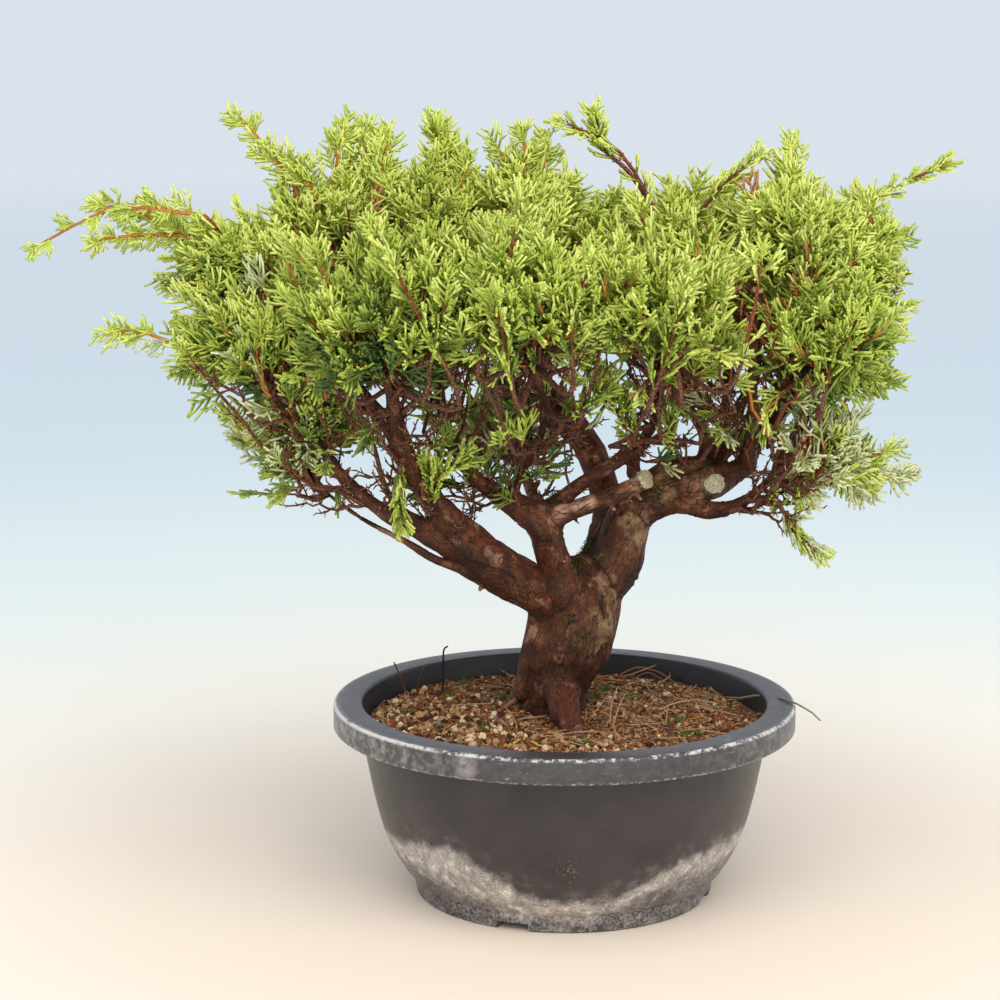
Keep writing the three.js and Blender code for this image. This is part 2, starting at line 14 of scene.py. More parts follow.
import bmesh
import bpy
import numpy as np
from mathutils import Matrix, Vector


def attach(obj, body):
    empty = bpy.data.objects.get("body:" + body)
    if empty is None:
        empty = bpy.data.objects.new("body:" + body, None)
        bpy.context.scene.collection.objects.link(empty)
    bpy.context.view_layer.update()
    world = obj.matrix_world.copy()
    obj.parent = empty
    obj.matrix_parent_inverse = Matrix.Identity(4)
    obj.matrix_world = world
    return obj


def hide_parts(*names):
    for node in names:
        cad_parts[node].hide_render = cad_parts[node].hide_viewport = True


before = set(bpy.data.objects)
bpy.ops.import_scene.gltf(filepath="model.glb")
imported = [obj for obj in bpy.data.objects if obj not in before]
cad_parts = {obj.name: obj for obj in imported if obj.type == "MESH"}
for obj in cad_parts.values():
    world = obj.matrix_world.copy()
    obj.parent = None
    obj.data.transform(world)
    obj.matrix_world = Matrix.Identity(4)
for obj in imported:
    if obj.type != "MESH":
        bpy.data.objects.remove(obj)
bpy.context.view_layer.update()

LOG = logging.getLogger("bonsai")
BODY = "root"
MM = 0.001
GOLDEN_ANGLE = math.pi * (3 - math.sqrt(5))
UP = np.array([0.0, 0.0, 1.0])

Array = np.ndarray
Rng = np.random.Generator
Span = tuple[float, float]
Place = tuple[float, float, float]
Row = tuple[float, float, float, float]
Colour = tuple[float, float, float, float]
Piece = bpy.types.Object
Finish = bpy.types.Material


def tone(code: int) -> Colour:
    """A colour in the linear values that a shader takes.

    Args:
        code: The colour, as 0xRRGGBB.

    Returns:
        Its red, green, blue and alpha.
    """
    shares = [((code >> shift) & 255) / 255 for shift in (16, 8, 0)]
    linear = [share / 12.92 if share <= 0.04045 else ((share + 0.055) / 1.055) ** 2.4 for share in shares]
    return (linear[0], linear[1], linear[2], 1.0)


def shaded(colour: Colour, factor: float) -> Colour:
    """A colour made lighter or darker by a factor."""
    return (*(min(1.0, part * factor) for part in colour[:3]), 1.0)


def unit(vectors: Array) -> Array:
    """The vectors, each at length 1."""
    return vectors / np.maximum(np.linalg.norm(vectors, axis=-1, keepdims=True), 1e-9)


def distances(points: Array, place: Sequence[float]) -> Array:
    """How far points are from a place."""
    return np.linalg.norm(points - np.array(place), axis=-1)


def turns(count: int) -> Array:
    """Equal turns round a circle, in radians."""
    return 2 * np.pi * np.arange(count) / count


def level_ring(radius: float, height: float, sides: int) -> Array:
    """Corners round the pot's axis, at one height."""
    turn = turns(sides)
    return np.stack([np.cos(turn) * radius, np.sin(turn) * radius, np.full(sides, height)], 1)


def smoothstep(low: float, high: float, values: Array) -> Array:
    """0 below low, 1 above high and a smooth rise between them."""
    share = np.clip((values - low) / (high - low), 0, 1)
    return share * share * (3 - 2 * share)


# Shader maths

Value = Union["Sock", float, int, tuple]


class Sock:
    """An output socket whose arithmetic adds Math nodes to its tree."""

    def __init__(self, kit: "NodeKit", out: bpy.types.NodeSocket) -> None:
        """Keeps the tree's kit and the socket itself."""
        self.kit = kit
        self.out = out

    def math(self, operation: str, *values: Value) -> "Sock":
        """A Math node of one operation on the values."""
        return self.kit.add("ShaderNodeMath", {"operation": operation}, dict(enumerate(values)))

    def __add__(self, other: Value) -> "Sock":
        """The sum."""
        return self.math("ADD", self, other)

    def __sub__(self, other: Value) -> "Sock":
        """The difference."""
        return self.math("SUBTRACT", self, other)

    def __rsub__(self, other: Value) -> "Sock":
        """The difference from a number."""
        return self.math("SUBTRACT", other, self)

    def __mul__(self, other: Value) -> "Sock":
        """The product."""
        return self.math("MULTIPLY", self, other)

    def __truediv__(self, other: Value) -> "Sock":
        """The quotient."""
        return self.math("DIVIDE", self, other)

    def __pow__(self, other: Value) -> "Sock":
        """The power."""
        return self.math("POWER", self, other)

    __radd__ = __add__
    __rmul__ = __mul__

    def clamped(self) -> "Sock":
        """The value held between 0 and 1."""
        return self.math("MINIMUM", self.math("MAXIMUM", self, 0.0), 1.0)


class NodeKit:
    """The node tree of one material, with one method that makes any node."""

    def __init__(self, name: str) -> None:
        """Makes the material with an empty tree.

        Args:
            name: The material's name.
        """
        self.material = bpy.data.materials.new(name)
        self.material.use_nodes = True
        self.tree = self.material.node_tree
        self.tree.nodes.clear()

    def add(self, kind: str, settings: dict | None = None, inputs: dict | None = None,
            output: int | str = 0) -> Sock:
        """Adds one node.

        Args:
            kind: The node's type.
            settings: Its settings, set first. The stops of a ramp are (place, colour) pairs under "stops".
            inputs: Values or links for its sockets, by number or name.
            output: Which output to hand back.

        Returns:
            The chosen output.
        """
        node = self.tree.nodes.new(kind)
        for key, value in (settings or {}).items():
            if key == "stops":
                self.set_stops(node.color_ramp, value)
            else:
                setattr(node, key, value)
        for key, value in (inputs or {}).items():
            if isinstance(value, Sock):
                self.tree.links.new(value.out, node.inputs[key])
            else:
                node.inputs[key].default_value = value
        return Sock(self, node.outputs[output])

    @staticmethod
    def set_stops(ramp: bpy.types.ColorRamp, stops: Sequence[tuple[float, Colour]]) -> None:
        """Gives a ramp its stops, in order.

        Args:
            ramp: The ramp.
            stops: Pairs of a place from 0 to 1 and a colour.
        """
        while len(ramp.elements) < len(stops):
            ramp.elements.new(1.0)
        for element, (place, colour) in zip(ramp.elements, stops):
            element.position = place
            element.color = colour

    def mix(self, share: Value, first: Value, second: Value) -> Sock:
        """A colour between two, by a share from 0 to 1."""
        return self.add("ShaderNodeMix", {"data_type": "RGBA"}, {0: share, 6: first, 7: second}, 2)

    def place(self) -> Sock:
        """The surface's place in the object's own frame, in millimetres."""
        return self.scaled(self.add("ShaderNodeTexCoord", output="Object"), (1 / MM,) * 3)

    def scaled(self, vector: Value, by: Place) -> Sock:
        """A vector times another, part by part."""
        return self.add("ShaderNodeVectorMath", {"operation": "MULTIPLY"}, {0: vector, 1: by})

    def distance(self, at: Value, middle: Place) -> Sock:
        """How far a place is from a middle."""
        return self.add("ShaderNodeVectorMath", {"operation": "DISTANCE"}, {0: at, 1: middle}, "Value")

    def parts(self, vector: Value) -> list[Sock]:
        """The x, y and z of a vector."""
        split = self.add("ShaderNodeSeparateXYZ", inputs={0: vector})
        return [Sock(self, out) for out in split.out.node.outputs]

    def noise(self, at: Value, size: float, detail: float = 3.0, roughness: float = 0.55) -> Sock:
        """Soft noise from 0 to 1 with features of about one size, in the units of its place."""
        inputs = {"Vector": at, "Scale": 1 / size, "Detail": detail, "Roughness": roughness}
        return self.add("ShaderNodeTexNoise", {"noise_dimensions": "3D"}, inputs)

    def cells(self, at: Value, size: float, feature: str = "F1", output: str = "Distance") -> Sock:
        """Voronoi cells of about one size."""
        inputs = {"Vector": at, "Scale": 1 / size}
        return self.add("ShaderNodeTexVoronoi", {"feature": feature}, inputs, output)

    def band(self, value: Value, low: float, high: float) -> Sock:
        """A smooth rise from 0 at low to 1 at high, or a fall where low is the larger."""
        settings = {"interpolation_type": "SMOOTHSTEP"}
        return self.add("ShaderNodeMapRange", settings, {0: value, 1: low, 2: high, 3: 0.0, 4: 1.0})

    def ramp(self, value: Value, *stops: tuple[float, Colour]) -> Sock:
        """A colour that runs through stops as the value goes from 0 to 1."""
        return self.add("ShaderNodeValToRGB", {"stops": stops}, {0: value})

    def attribute(self, name: str, output: str = "Fac") -> Sock:
        """A value that the mesh carries."""
        return self.add("ShaderNodeAttribute", {"attribute_name": name}, output=output)

    def bump(self, height: Sock, depth: float) -> Sock:
        """A normal that follows a height, with its depth in millimetres."""
        return self.add("ShaderNodeBump", inputs={"Strength": 1.0, "Distance": depth * MM, "Height": height})

    def surface(self, colour: Value, roughness: Value, normal: Sock | None = None,
                **others: Value) -> Finish:
        """Closes the tree with a Principled shader.

        Args:
            colour: The base colour.
            roughness: The roughness.
            normal: A bumped normal, if there is one.
            **others: Other sockets by name, with an underscore for each blank.

        Returns:
            The finished material.
        """
        inputs = {"Base Color": colour, "Roughness": roughness}
        inputs.update({key.replace("_", " "): value for key, value in others.items()})
        if normal is not None:
            inputs["Normal"] = normal
        self.close(self.add("ShaderNodeBsdfPrincipled", None, inputs))
        return self.material

    def close(self, shader: Sock) -> None:
        """Links a shader to the tree's output."""
        output = self.tree.nodes.new("ShaderNodeOutputMaterial")
        self.tree.links.new(shader.out, output.inputs["Surface"])


# Finishes


@dataclass(frozen=True)
class BarkFinish:
    """Red-brown bark that is smooth where it is stretched, dark in its cracks, tan where it is worn and green
    where moss holds on, with painted shade in its crotches and undersides and a painted highlight in the tan
    on its right side."""

    name: str = "bark"
    deep: Colour = tone(0x120804)
    dark: Colour = tone(0x2D160A)
    middle: Colour = tone(0x502916)
    light: Colour = tone(0x6E3E22)
    worn: Colour = tone(0x946340)
    olive: Colour = tone(0x4A401C)
    tan: Colour = tone(0xB08E66)
    red: Colour = tone(0x76301A)
    moss: Colour = tone(0x2B3012)
    peeled: Colour = tone(0xC89C84)
    pale: Colour = tone(0xBFA88C)

    def material(self) -> Finish:
        """The bark, whose patterns follow each limb.

        Returns:
            The finished material.
        """
        kit = NodeKit(self.name)
        grain = kit.attribute("grain", "Vector")
        at = kit.place()
        streak = kit.noise(kit.scaled(grain, (1.0, 1.0, 0.35)), 2.2, 4.0, 0.65)
        blotch = kit.noise(at, 11.0, 5.0, 0.62)
        speck = kit.noise(kit.scaled(grain, (1.0, 1.0, 0.8)), 0.7, 3.0, 0.7)
        level = blotch * 0.5 + streak * 0.2 + speck * 0.3
        colour = kit.ramp(level, (0.4, self.dark), (0.475, self.middle), (0.54, self.light),
                          (0.64, self.worn))
        colour = kit.mix(kit.attribute("red") * kit.band(streak, 0.35, 0.6) * 0.6, colour, self.red)
        # Worn tan bark, which is also a painted highlight where the tan spots lie, mostly on the trunk's
        # right side.
        soft = kit.band(kit.noise(at, 5.0, 4.0), 0.34, 0.62)
        colour = kit.mix(kit.attribute("tan") * soft * 0.85, colour, self.tan)
        patchy = kit.band(blotch + speck * 0.3, 0.45, 0.75)
        colour = kit.mix(kit.attribute("olive") * patchy * 0.7, colour, self.olive)
        colour = kit.mix(kit.attribute("peel") * kit.band(streak, 0.3, 0.55), colour, self.peeled)
        flake = kit.band(kit.cells(kit.scaled(grain, (1.0, 1.0, 0.4)), 3.2, "DISTANCE_TO_EDGE"), 0.07, 0.0)
        colour = kit.mix(flake * kit.band(blotch, 0.42, 0.56) * 0.85, colour, self.deep)
        sheet = kit.band(kit.cells(kit.scaled(grain, (1.0, 1.0, 0.3)), 5.0, "F1", "Color"), 0.62, 0.7)
        colour = kit.mix(sheet * kit.band(blotch, 0.5, 0.6) * 0.35, colour, self.peeled)
        # Painted shade: the bark is darkened on its undersides and low on the trunk.
        colour = kit.mix(kit.attribute("painted_shade") * 0.7, colour, self.dark)
        # The crack attribute darkens the bark's real cracks and knot rings, and also carries the painted
        # shade in the crotches.
        colour = kit.mix((kit.attribute("crack") * 0.85).clamped(), colour, self.deep)
        moss = kit.attribute("moss") * kit.band(speck + kit.noise(at, 3.0, 3.0) * 0.5, 0.68, 0.82)
        colour = kit.mix(moss * 0.8, colour, self.moss)
        colour = kit.mix(kit.attribute("nub") * 0.8, colour, self.pale)
        height = streak * 0.3 + speck * 0.4 + kit.noise(at, 2.4, 3.0) * 0.6 - flake * 0.2
        rough = 0.5 + blotch * 0.2 + moss * 0.3 + kit.attribute("crack") * 0.15
        return kit.surface(colour, rough, kit.bump(height, 0.85), Specular_IOR_Level=0.3)


@dataclass(frozen=True)
class TwigFinish:
    """A thin stem's bark, ringed by old scale leaves."""

    name: str
    colour: Colour
    shade: Colour

    def material(self) -> Finish:
        """Short rings and specks of two colours.

        Returns:
            The finished material.
        """
        kit = NodeKit(self.name)
        at = kit.place()
        speck = kit.noise(at, 0.8, 2.0, 0.65)
        colour = kit.mix(kit.band(speck, 0.4, 0.62), self.shade, self.colour)
        return kit.surface(colour, 0.75, kit.bump(speck, 0.25), Specular_IOR_Level=0.3)


@dataclass(frozen=True)
class LeafFinish:
    """One green of the scale leaves, which overlap like tiles along each cord."""

    name: str
    colour: Colour
    lift: float = 1.12
    dim: float = 0.84

    def material(self) -> Finish:
        """The green with tile-like scales and a waxy sheen.

        Returns:
            The finished material.
        """
        kit = NodeKit(self.name)
        at = kit.place()
        scale = kit.cells(at, 0.95)
        patch = kit.noise(at, 14.0, 2.0)
        low = (kit.band(scale, 0.15, 0.8) * 0.6 + patch * 0.5).clamped()
        colour = kit.mix(low, shaded(self.colour, self.lift), shaded(self.colour, self.dim))
        rough = 0.4 + kit.noise(at, 1.5, 1.0) * 0.2
        return kit.surface(colour, rough, kit.bump(1 - scale, 0.16), Specular_IOR_Level=0.35)


@dataclass(frozen=True)
class CutFinish:
    """A cut face with rings about its middle."""

    name: str
    centre: Place
    pale: Colour
    dark: Colour
    ring: float = 0.7

    def material(self) -> Finish:
        """Rings by the distance from the middle, broken by noise.

        Returns:
            The finished material.
        """
        kit = NodeKit(self.name)
        at = kit.place()
        phase = (kit.distance(at, self.centre) + kit.noise(at, 1.3, 3.0) * 1.6) * (2 * math.pi / self.ring)
        rings = phase.math("SINE", phase)
        blotch = kit.noise(at, 1.1, 3.0, 0.7)
        colour = kit.mix(((rings * 0.45 + blotch * 1.6) - 0.2).clamped(), self.dark, self.pale)
        return kit.surface(colour, 0.8, kit.bump(rings * 0.3 + blotch, 0.4), Specular_IOR_Level=0.25)


@dataclass(frozen=True)
class PotFinish:
    """Scuffed charcoal plastic with a lime mark low on its wall."""

    name: str = "pot_plastic"
    wall: Colour = tone(0x292527)
    wall_light: Colour = tone(0x3A3436)
    rim: Colour = tone(0x413E40)
    lime: Colour = tone(0xC8BFB6)
    bright: Colour = tone(0xF2EEE8)
    chalk: Colour = tone(0xA4A0A0)
    clay: Colour = tone(0xA97C55)
    # White for scuffs and flecks, and for the painted highlight on the rim's top edge.
    scuff_and_glint: Colour = tone(0xD9D7D8)
    mauve: Colour = tone(0x9A8F91)
    # Painted shade: near black for the inner wall above the soil.
    inner: Colour = tone(0x131215)
    haze: Colour = tone(0xB4ADA3)
    span: float = 180.0
    highest: float = 50.0
    lime_top: tuple[Span, ...] = (
        (-90, 36), (-66, 41), (-54, 42), (-40, 35), (-23, 24), (-4, 18), (16, 18), (34, 26), (54, 36),
        (84, 39))
    lime_foot: tuple[Span, ...] = (
        (-90, 25), (-66, 24), (-48, 19), (-22, 10), (10, 10), (34, 18), (54, 26), (84, 29))
    scuff_at: Place = (-47.0, -103.0, 91.0)
    speck_at: Place = (-87.0, -74.0, 90.0)
    tan_at: Place = (0.0, -92.0, 36.0)

    def line(self, kit: NodeKit, x: Sock, stops: Sequence[Span]) -> Sock:
        """A height in millimetres that follows stops of x and height."""
        greys = [((at + self.span / 2) / self.span, (*(high / self.highest,) * 3, 1.0)) for at, high in stops]
        return kit.ramp(x / self.span + 0.5, *greys) * self.highest

    def near(self, kit: NodeKit, at: Sock, middle: Place, reach: float) -> Sock:
        """1 at a place and 0 beyond its reach, with a ragged edge."""
        away = kit.distance(at, middle) + kit.noise(at, 3.0, 4.0, 0.7) * reach * 0.8
        return kit.band(away, reach * 1.3, reach * 0.6)

    def lime_marks(self, kit: NodeKit, at: Sock, x: Sock, z: Sock) -> tuple[Sock, Sock, Sock]:
        """Where lime has dried.

        Args:
            kit: The material's tree.
            at: The place on the surface.
            x: Its part along x.
            z: Its height.

        Returns:
            The lime, its brightest crust, and the thin mottling below.
        """
        ragged = (kit.noise(at, 8.0, 6.0, 0.72) - 0.5) * 15.0
        height = z + ragged
        top = self.line(kit, x, self.lime_top)
        foot = self.line(kit, x, self.lime_foot)
        under = kit.band(height - top, 2.5, -4.0)
        above = kit.band(height - foot, -7.0, 4.0)
        grain = kit.noise(at, 0.7, 2.0, 0.5)
        dust = kit.band(grain * 0.5 + kit.noise(at, 7.0, 5.0, 0.62) * 0.7, 0.47, 0.74)
        lime = under * above * (0.42 + dust * 0.58)
        smear = kit.band(height - top, 13.0, -1.0) * kit.band(kit.noise(at, 11.0, 4.0), 0.42, 0.66) * 0.45
        crust = under * above * kit.band(kit.noise(at, 4.0, 4.0, 0.6) + grain * 0.2, 0.6, 0.74) * dust
        below = kit.band(height - foot, 6.0, -4.0) * kit.band(kit.noise(at, 1.5, 4.0, 0.7), 0.4, 0.64)
        lime = (lime + smear * dust).clamped()
        return lime, crust, below * kit.band(kit.noise(at, 12.0, 3.0), 0.3, 0.55)

    def material(self) -> Finish:
        """The plastic, with wear and a painted highlight at the rim, painted shade on its inner wall, and
        lime low on the wall.

        Returns:
            The finished material.
        """
        kit = NodeKit(self.name)
        at = kit.place()
        x, y, z = kit.parts(at)
        radius = (x * x + y * y) ** 0.5
        cloud = kit.noise(at, 34.0, 5.0, 0.6)
        grit = kit.noise(at, 0.5, 3.0, 0.8)
        fleck = kit.band(kit.noise(at, 0.9, 3.0, 0.9), 0.7, 0.78)
        fleck = fleck * kit.band(kit.noise(at, 9.0, 2.0), 0.35, 0.6)
        colour = kit.mix(kit.band(cloud + grit * 0.25, 0.4, 0.85), self.wall, self.wall_light)
        colour = kit.mix(fleck * 0.4, colour, self.scuff_and_glint)
        on_rim = kit.band(z, 83.5, 85.5) * kit.band(radius, 101.0, 103.5)
        dusty = kit.noise(at, 5.0, 5.0, 0.7)
        colour = kit.mix(on_rim * (0.35 + kit.band(dusty + grit * 0.3, 0.5, 0.85) * 0.35), colour, self.rim)
        # Painted shade: the inner wall above the soil is darkened almost to black.
        inside = kit.band(z, 86.0, 87.0) * kit.band(radius, 101.8, 100.6)
        colour = kit.mix(inside * 0.85, colour, self.inner)
        beside = (kit.band(x, -30.0, -95.0) + kit.band(x, 50.0, 105.0) * 0.5).clamped()
        hazy = kit.band(radius, 110.5, 113.8) * kit.band(z, 84.0, 85.0)
        hazy = hazy * (0.12 + kit.band(dusty, 0.42, 0.66) * 0.88)
        colour = kit.mix(hazy * (0.05 + beside * 0.5), colour, self.haze)
        lime, crust, mottle = self.lime_marks(kit, at, x, z)
        outside = kit.band(radius - z * 0.3, 66.0, 68.0)
        colour = kit.mix(mottle * outside * 0.6, colour, self.chalk)
        colour = kit.mix(lime * outside * 0.8, colour, self.lime)
        colour = kit.mix(crust * outside * 0.6, colour, self.bright)
        patch = (self.near(kit, at, self.scuff_at, 9.5) - self.near(kit, at, self.scuff_at, 3.2)).clamped()
        colour = kit.mix(patch * kit.band(grit + dusty, 0.7, 1.1) * 0.8, colour, self.mauve)
        edge, scratch = self.scuffs_and_glints(kit, at, z, radius, beside)
        # White scuffs and scratches, and the painted highlight along the rim's top edge.
        colour = kit.mix((edge * 0.8 + scratch * 0.35).clamped(), colour, self.scuff_and_glint)
        clay = kit.band(kit.noise(at, 1.3, 3.0, 0.7), 0.6, 0.66)
        clay = clay * self.near(kit, at, self.tan_at, 12.0) + self.near(kit, at, self.speck_at, 2.0)
        clay = clay.clamped()
        colour = kit.mix(clay * 0.85, colour, self.clay)
        rough = (0.24 + lime * outside * 0.5 + dusty * 0.24 + clay * 0.3).clamped()
        height = grit * 0.5 + lime * outside * kit.noise(at, 0.9, 2.0) * 0.9
        return kit.surface(colour, rough, kit.bump(height, 0.14), Specular_IOR_Level=0.5)

    @staticmethod
    def scuffs_and_glints(kit: NodeKit, at: Sock, z: Sock, radius: Sock, beside: Sock) -> tuple[Sock, Sock]:
        """White wear along the rim's top and bottom edges, with a painted highlight along its top edge, most
        at its sides, and scratches.

        Args:
            kit: The material's tree.
            at: The place on the surface.
            z: Its height.
            radius: How far out it is.
            beside: How far to the sides it is, from 0 to 1.

        Returns:
            The wear with the painted highlight, and the scratches.
        """
        run = kit.noise(at, 6.0, 6.0, 0.75)
        fine = kit.noise(at, 2.2, 5.0, 0.8)
        wear = run * 0.5 + fine * 0.5 + beside * 0.09
        # Painted highlight: a thin white line on the rim's top outer edge, mixed with real white wear there.
        top_edge_wear_and_glint = kit.band(z, 94.9, 96.1) * kit.band(radius, 112.7, 113.6) * kit.band(wear, 0.49, 0.56)
        top_edge_wear_and_glint = top_edge_wear_and_glint * kit.band(z, 97.0, 96.8)
        lower = kit.band(z, 86.0, 85.0) * kit.band(radius, 113.4, 114.3) * kit.band(fine, 0.5, 0.6) * 0.7
        streaks = kit.noise(kit.scaled(at, (0.1, 0.1, 1.0)), 0.6, 3.0, 0.6)
        scratch = kit.band(streaks, 0.62, 0.7) * kit.band(radius, 102.0, 104.0) * kit.band(run, 0.45, 0.6)
        return top_edge_wear_and_glint + lower, scratch


@dataclass(frozen=True)
class EarthFinish:
    """Fine moist earth under the granules."""

    name: str = "earth"
    dark: Colour = tone(0x342114)
    brown: Colour = tone(0x785034)
    tan: Colour = tone(0xBD966D)

    def material(self) -> Finish:
        """Crumbs of three browns.

        Returns:
            The finished material.
        """
        kit = NodeKit(self.name)
        at = kit.place()
        crumb = kit.cells(at, 1.5, "F1", "Color")
        level = kit.parts(crumb)[0] * 0.5 + kit.noise(at, 1.1, 4.0, 0.7) * 0.5
        colour = kit.ramp(level, (0.25, self.dark), (0.5, self.brown), (0.78, self.tan))
        edge = kit.cells(at, 1.5)
        height = 1 - edge + kit.noise(at, 0.6, 2.0) * 0.5
        return kit.surface(colour, 0.95, kit.bump(height, 1.0), Specular_IOR_Level=0.2)


@dataclass(frozen=True)
class CrumbFinish:
    """One colour of granule, bark crumb, needle or thread on the soil."""

    name: str
    colour: Colour
    depth: float = 0.3

    def material(self) -> Finish:
        """The colour with pores and dust.

        Returns:
            The finished material.
        """
        kit = NodeKit(self.name)
        at = kit.place()
        dust = kit.noise(at, 0.6, 3.0, 0.7)
        colour = kit.mix(kit.band(dust, 0.3, 0.7), shaded(self.colour, 0.5), shaded(self.colour, 1.35))
        return kit.surface(colour, 0.9, kit.bump(dust, self.depth), Specular_IOR_Level=0.2)


@dataclass(frozen=True)
class FloorFinish:
    """A plain pale floor, cream by the pot and pale blue far off."""

    name: str = "floor"
    stops: tuple[tuple[float, Colour], ...] = (
        (220.0, tone(0xECDECF)), (420.0, tone(0xF0EADF)), (750.0, tone(0xE3EAE6)), (1500.0, tone(0xDAE7EC)),
        (3200.0, tone(0xE8F0F4)), (9000.0, tone(0xFFFFFF)))
    span: float = 9000.0

    def material(self) -> Finish:
        """A soft change of colour with the distance from the middle.

        Returns:
            The finished material.
        """
        kit = NodeKit(self.name)
        away = kit.distance(kit.place(), (0.0, 0.0, 0.0))
        stops = ((distance / self.span, shade) for distance, shade in self.stops)
        return kit.surface(kit.ramp(away / self.span, *stops), 1.0, Specular_IOR_Level=0.0)


# Meshes from arrays


def frame_on(tangent: Array, side: Array) -> tuple[Array, Array]:
    """Two ways across a strand.

    Args:
        tangent: The way along it.
        side: The way that its side shoots spread along.

    Returns:
        The part of side that is square to the tangent, and the way square to both.
    """
    across = unit(side - tangent * np.sum(side * tangent, -1, keepdims=True))
    return across, np.cross(tangent, across)


@dataclass
class Strands:
    """Thin limbs of one kind: their centre points, their radii, and the way across each that its own side
    shoots spread along."""

    points: Array
    radii: Array
    side: Array

    def __len__(self) -> int:
        """How many there are."""
        return len(self.points)

    def kept(self, wanted: Array) -> "Strands":
        """Only those that are wanted."""
        return Strands(self.points[wanted], self.radii[wanted], self.side[wanted])

    def tips(self) -> Array:
        """The last point of each."""
        return self.points[:, -1]

    def at(self, places: Array) -> tuple[Array, Array]:
        """Points and unit tangents on each strand.

        Args:
            places: Shares of the way along, one row of m for each strand.

        Returns:
            Points and tangents, both of shape (strands, m, 3).
        """
        steps = self.points.shape[1] - 1
        along = np.clip(places, 0, 1 - 1e-6) * steps
        low = along.astype(int)
        part = (along - low)[..., None]
        rows = np.arange(len(self))[:, None]
        start = self.points[rows, low]
        end = self.points[rows, low + 1]
        return start + (end - start) * part, unit(end - start)

    def lengths(self) -> Array:
        """The length of each."""
        return np.linalg.norm(np.diff(self.points, axis=1), axis=2).sum(1)


@dataclass(frozen=True)
class Growth:
    """How the side shoots of one order leave the strands that carry them: how many, from which share of the
    way along to which, their length, their angle, how far they bend back, their radius at foot and tip, how
    many points each has, and how much shorter the last is."""

    count: int
    first: float
    last: float
    length: float
    angle: float
    bend: float
    thick: float
    thin: float
    points: int
    shorten: float = 0.4
    flat: bool = True
    lift: float = 0.0
    vary: float = 0.25

    def grow(self, carrier: Strands, rng: Rng, sizes: Array | float = 1.0) -> Strands:
        """Grows side shoots on every carrier, to both sides in turn or all round it.

        Args:
            carrier: The strands that carry them.
            rng: The source of chance.
            sizes: A size for each carrier's shoots, or one for all.

        Returns:
            The side shoots, count to a carrier.
        """
        shape = (len(carrier), self.count)
        order = np.arange(self.count)
        gap = (self.last - self.first) / max(self.count - 1, 1)
        places = self.first + gap * order + rng.uniform(-0.35, 0.35, shape) * gap
        root, tangent = carrier.at(np.clip(places, 0.02, 0.985))
        across, beside = frame_on(tangent, carrier.side[:, None])
        turn = np.pi * (order % 2) if self.flat else GOLDEN_ANGLE * order
        turn = turn + rng.uniform(-1, 1, shape) * (0.35 if self.flat else 0.6)
        if not self.flat:
            turn = turn + rng.uniform(0, 2 * np.pi, (len(carrier), 1))
        out = across * np.cos(turn)[..., None] + beside * np.sin(turn)[..., None]
        angle = (self.angle * (1 + rng.uniform(-self.vary, self.vary, shape)))[..., None]
        start = tangent * np.cos(angle) + out * np.sin(angle)
        share = 1 - self.shorten * order / max(self.count - 1, 1)
        length = self.length * share * (1 + rng.uniform(-self.vary, self.vary, shape))
        length = (length * np.broadcast_to(np.asarray(sizes), (len(carrier),))[:, None])[..., None, None]
        run = np.linspace(0, 1, self.points)[None, None, :, None]
        turned = (tangent - start)[:, :, None] * self.bend + UP * self.lift
        points = root[:, :, None] + length * (start[:, :, None] * run + turned * run * run / 2)
        fall = np.linspace(self.thick, self.thin, self.points)
        count = shape[0] * self.count
        side = unit(out * np.cos(angle) - tangent * np.sin(angle)) if self.flat else beside
        points = points.reshape(count, self.points, 3)
        return Strands(points, np.tile(fall, (count, 1)), side.reshape(count, 3))


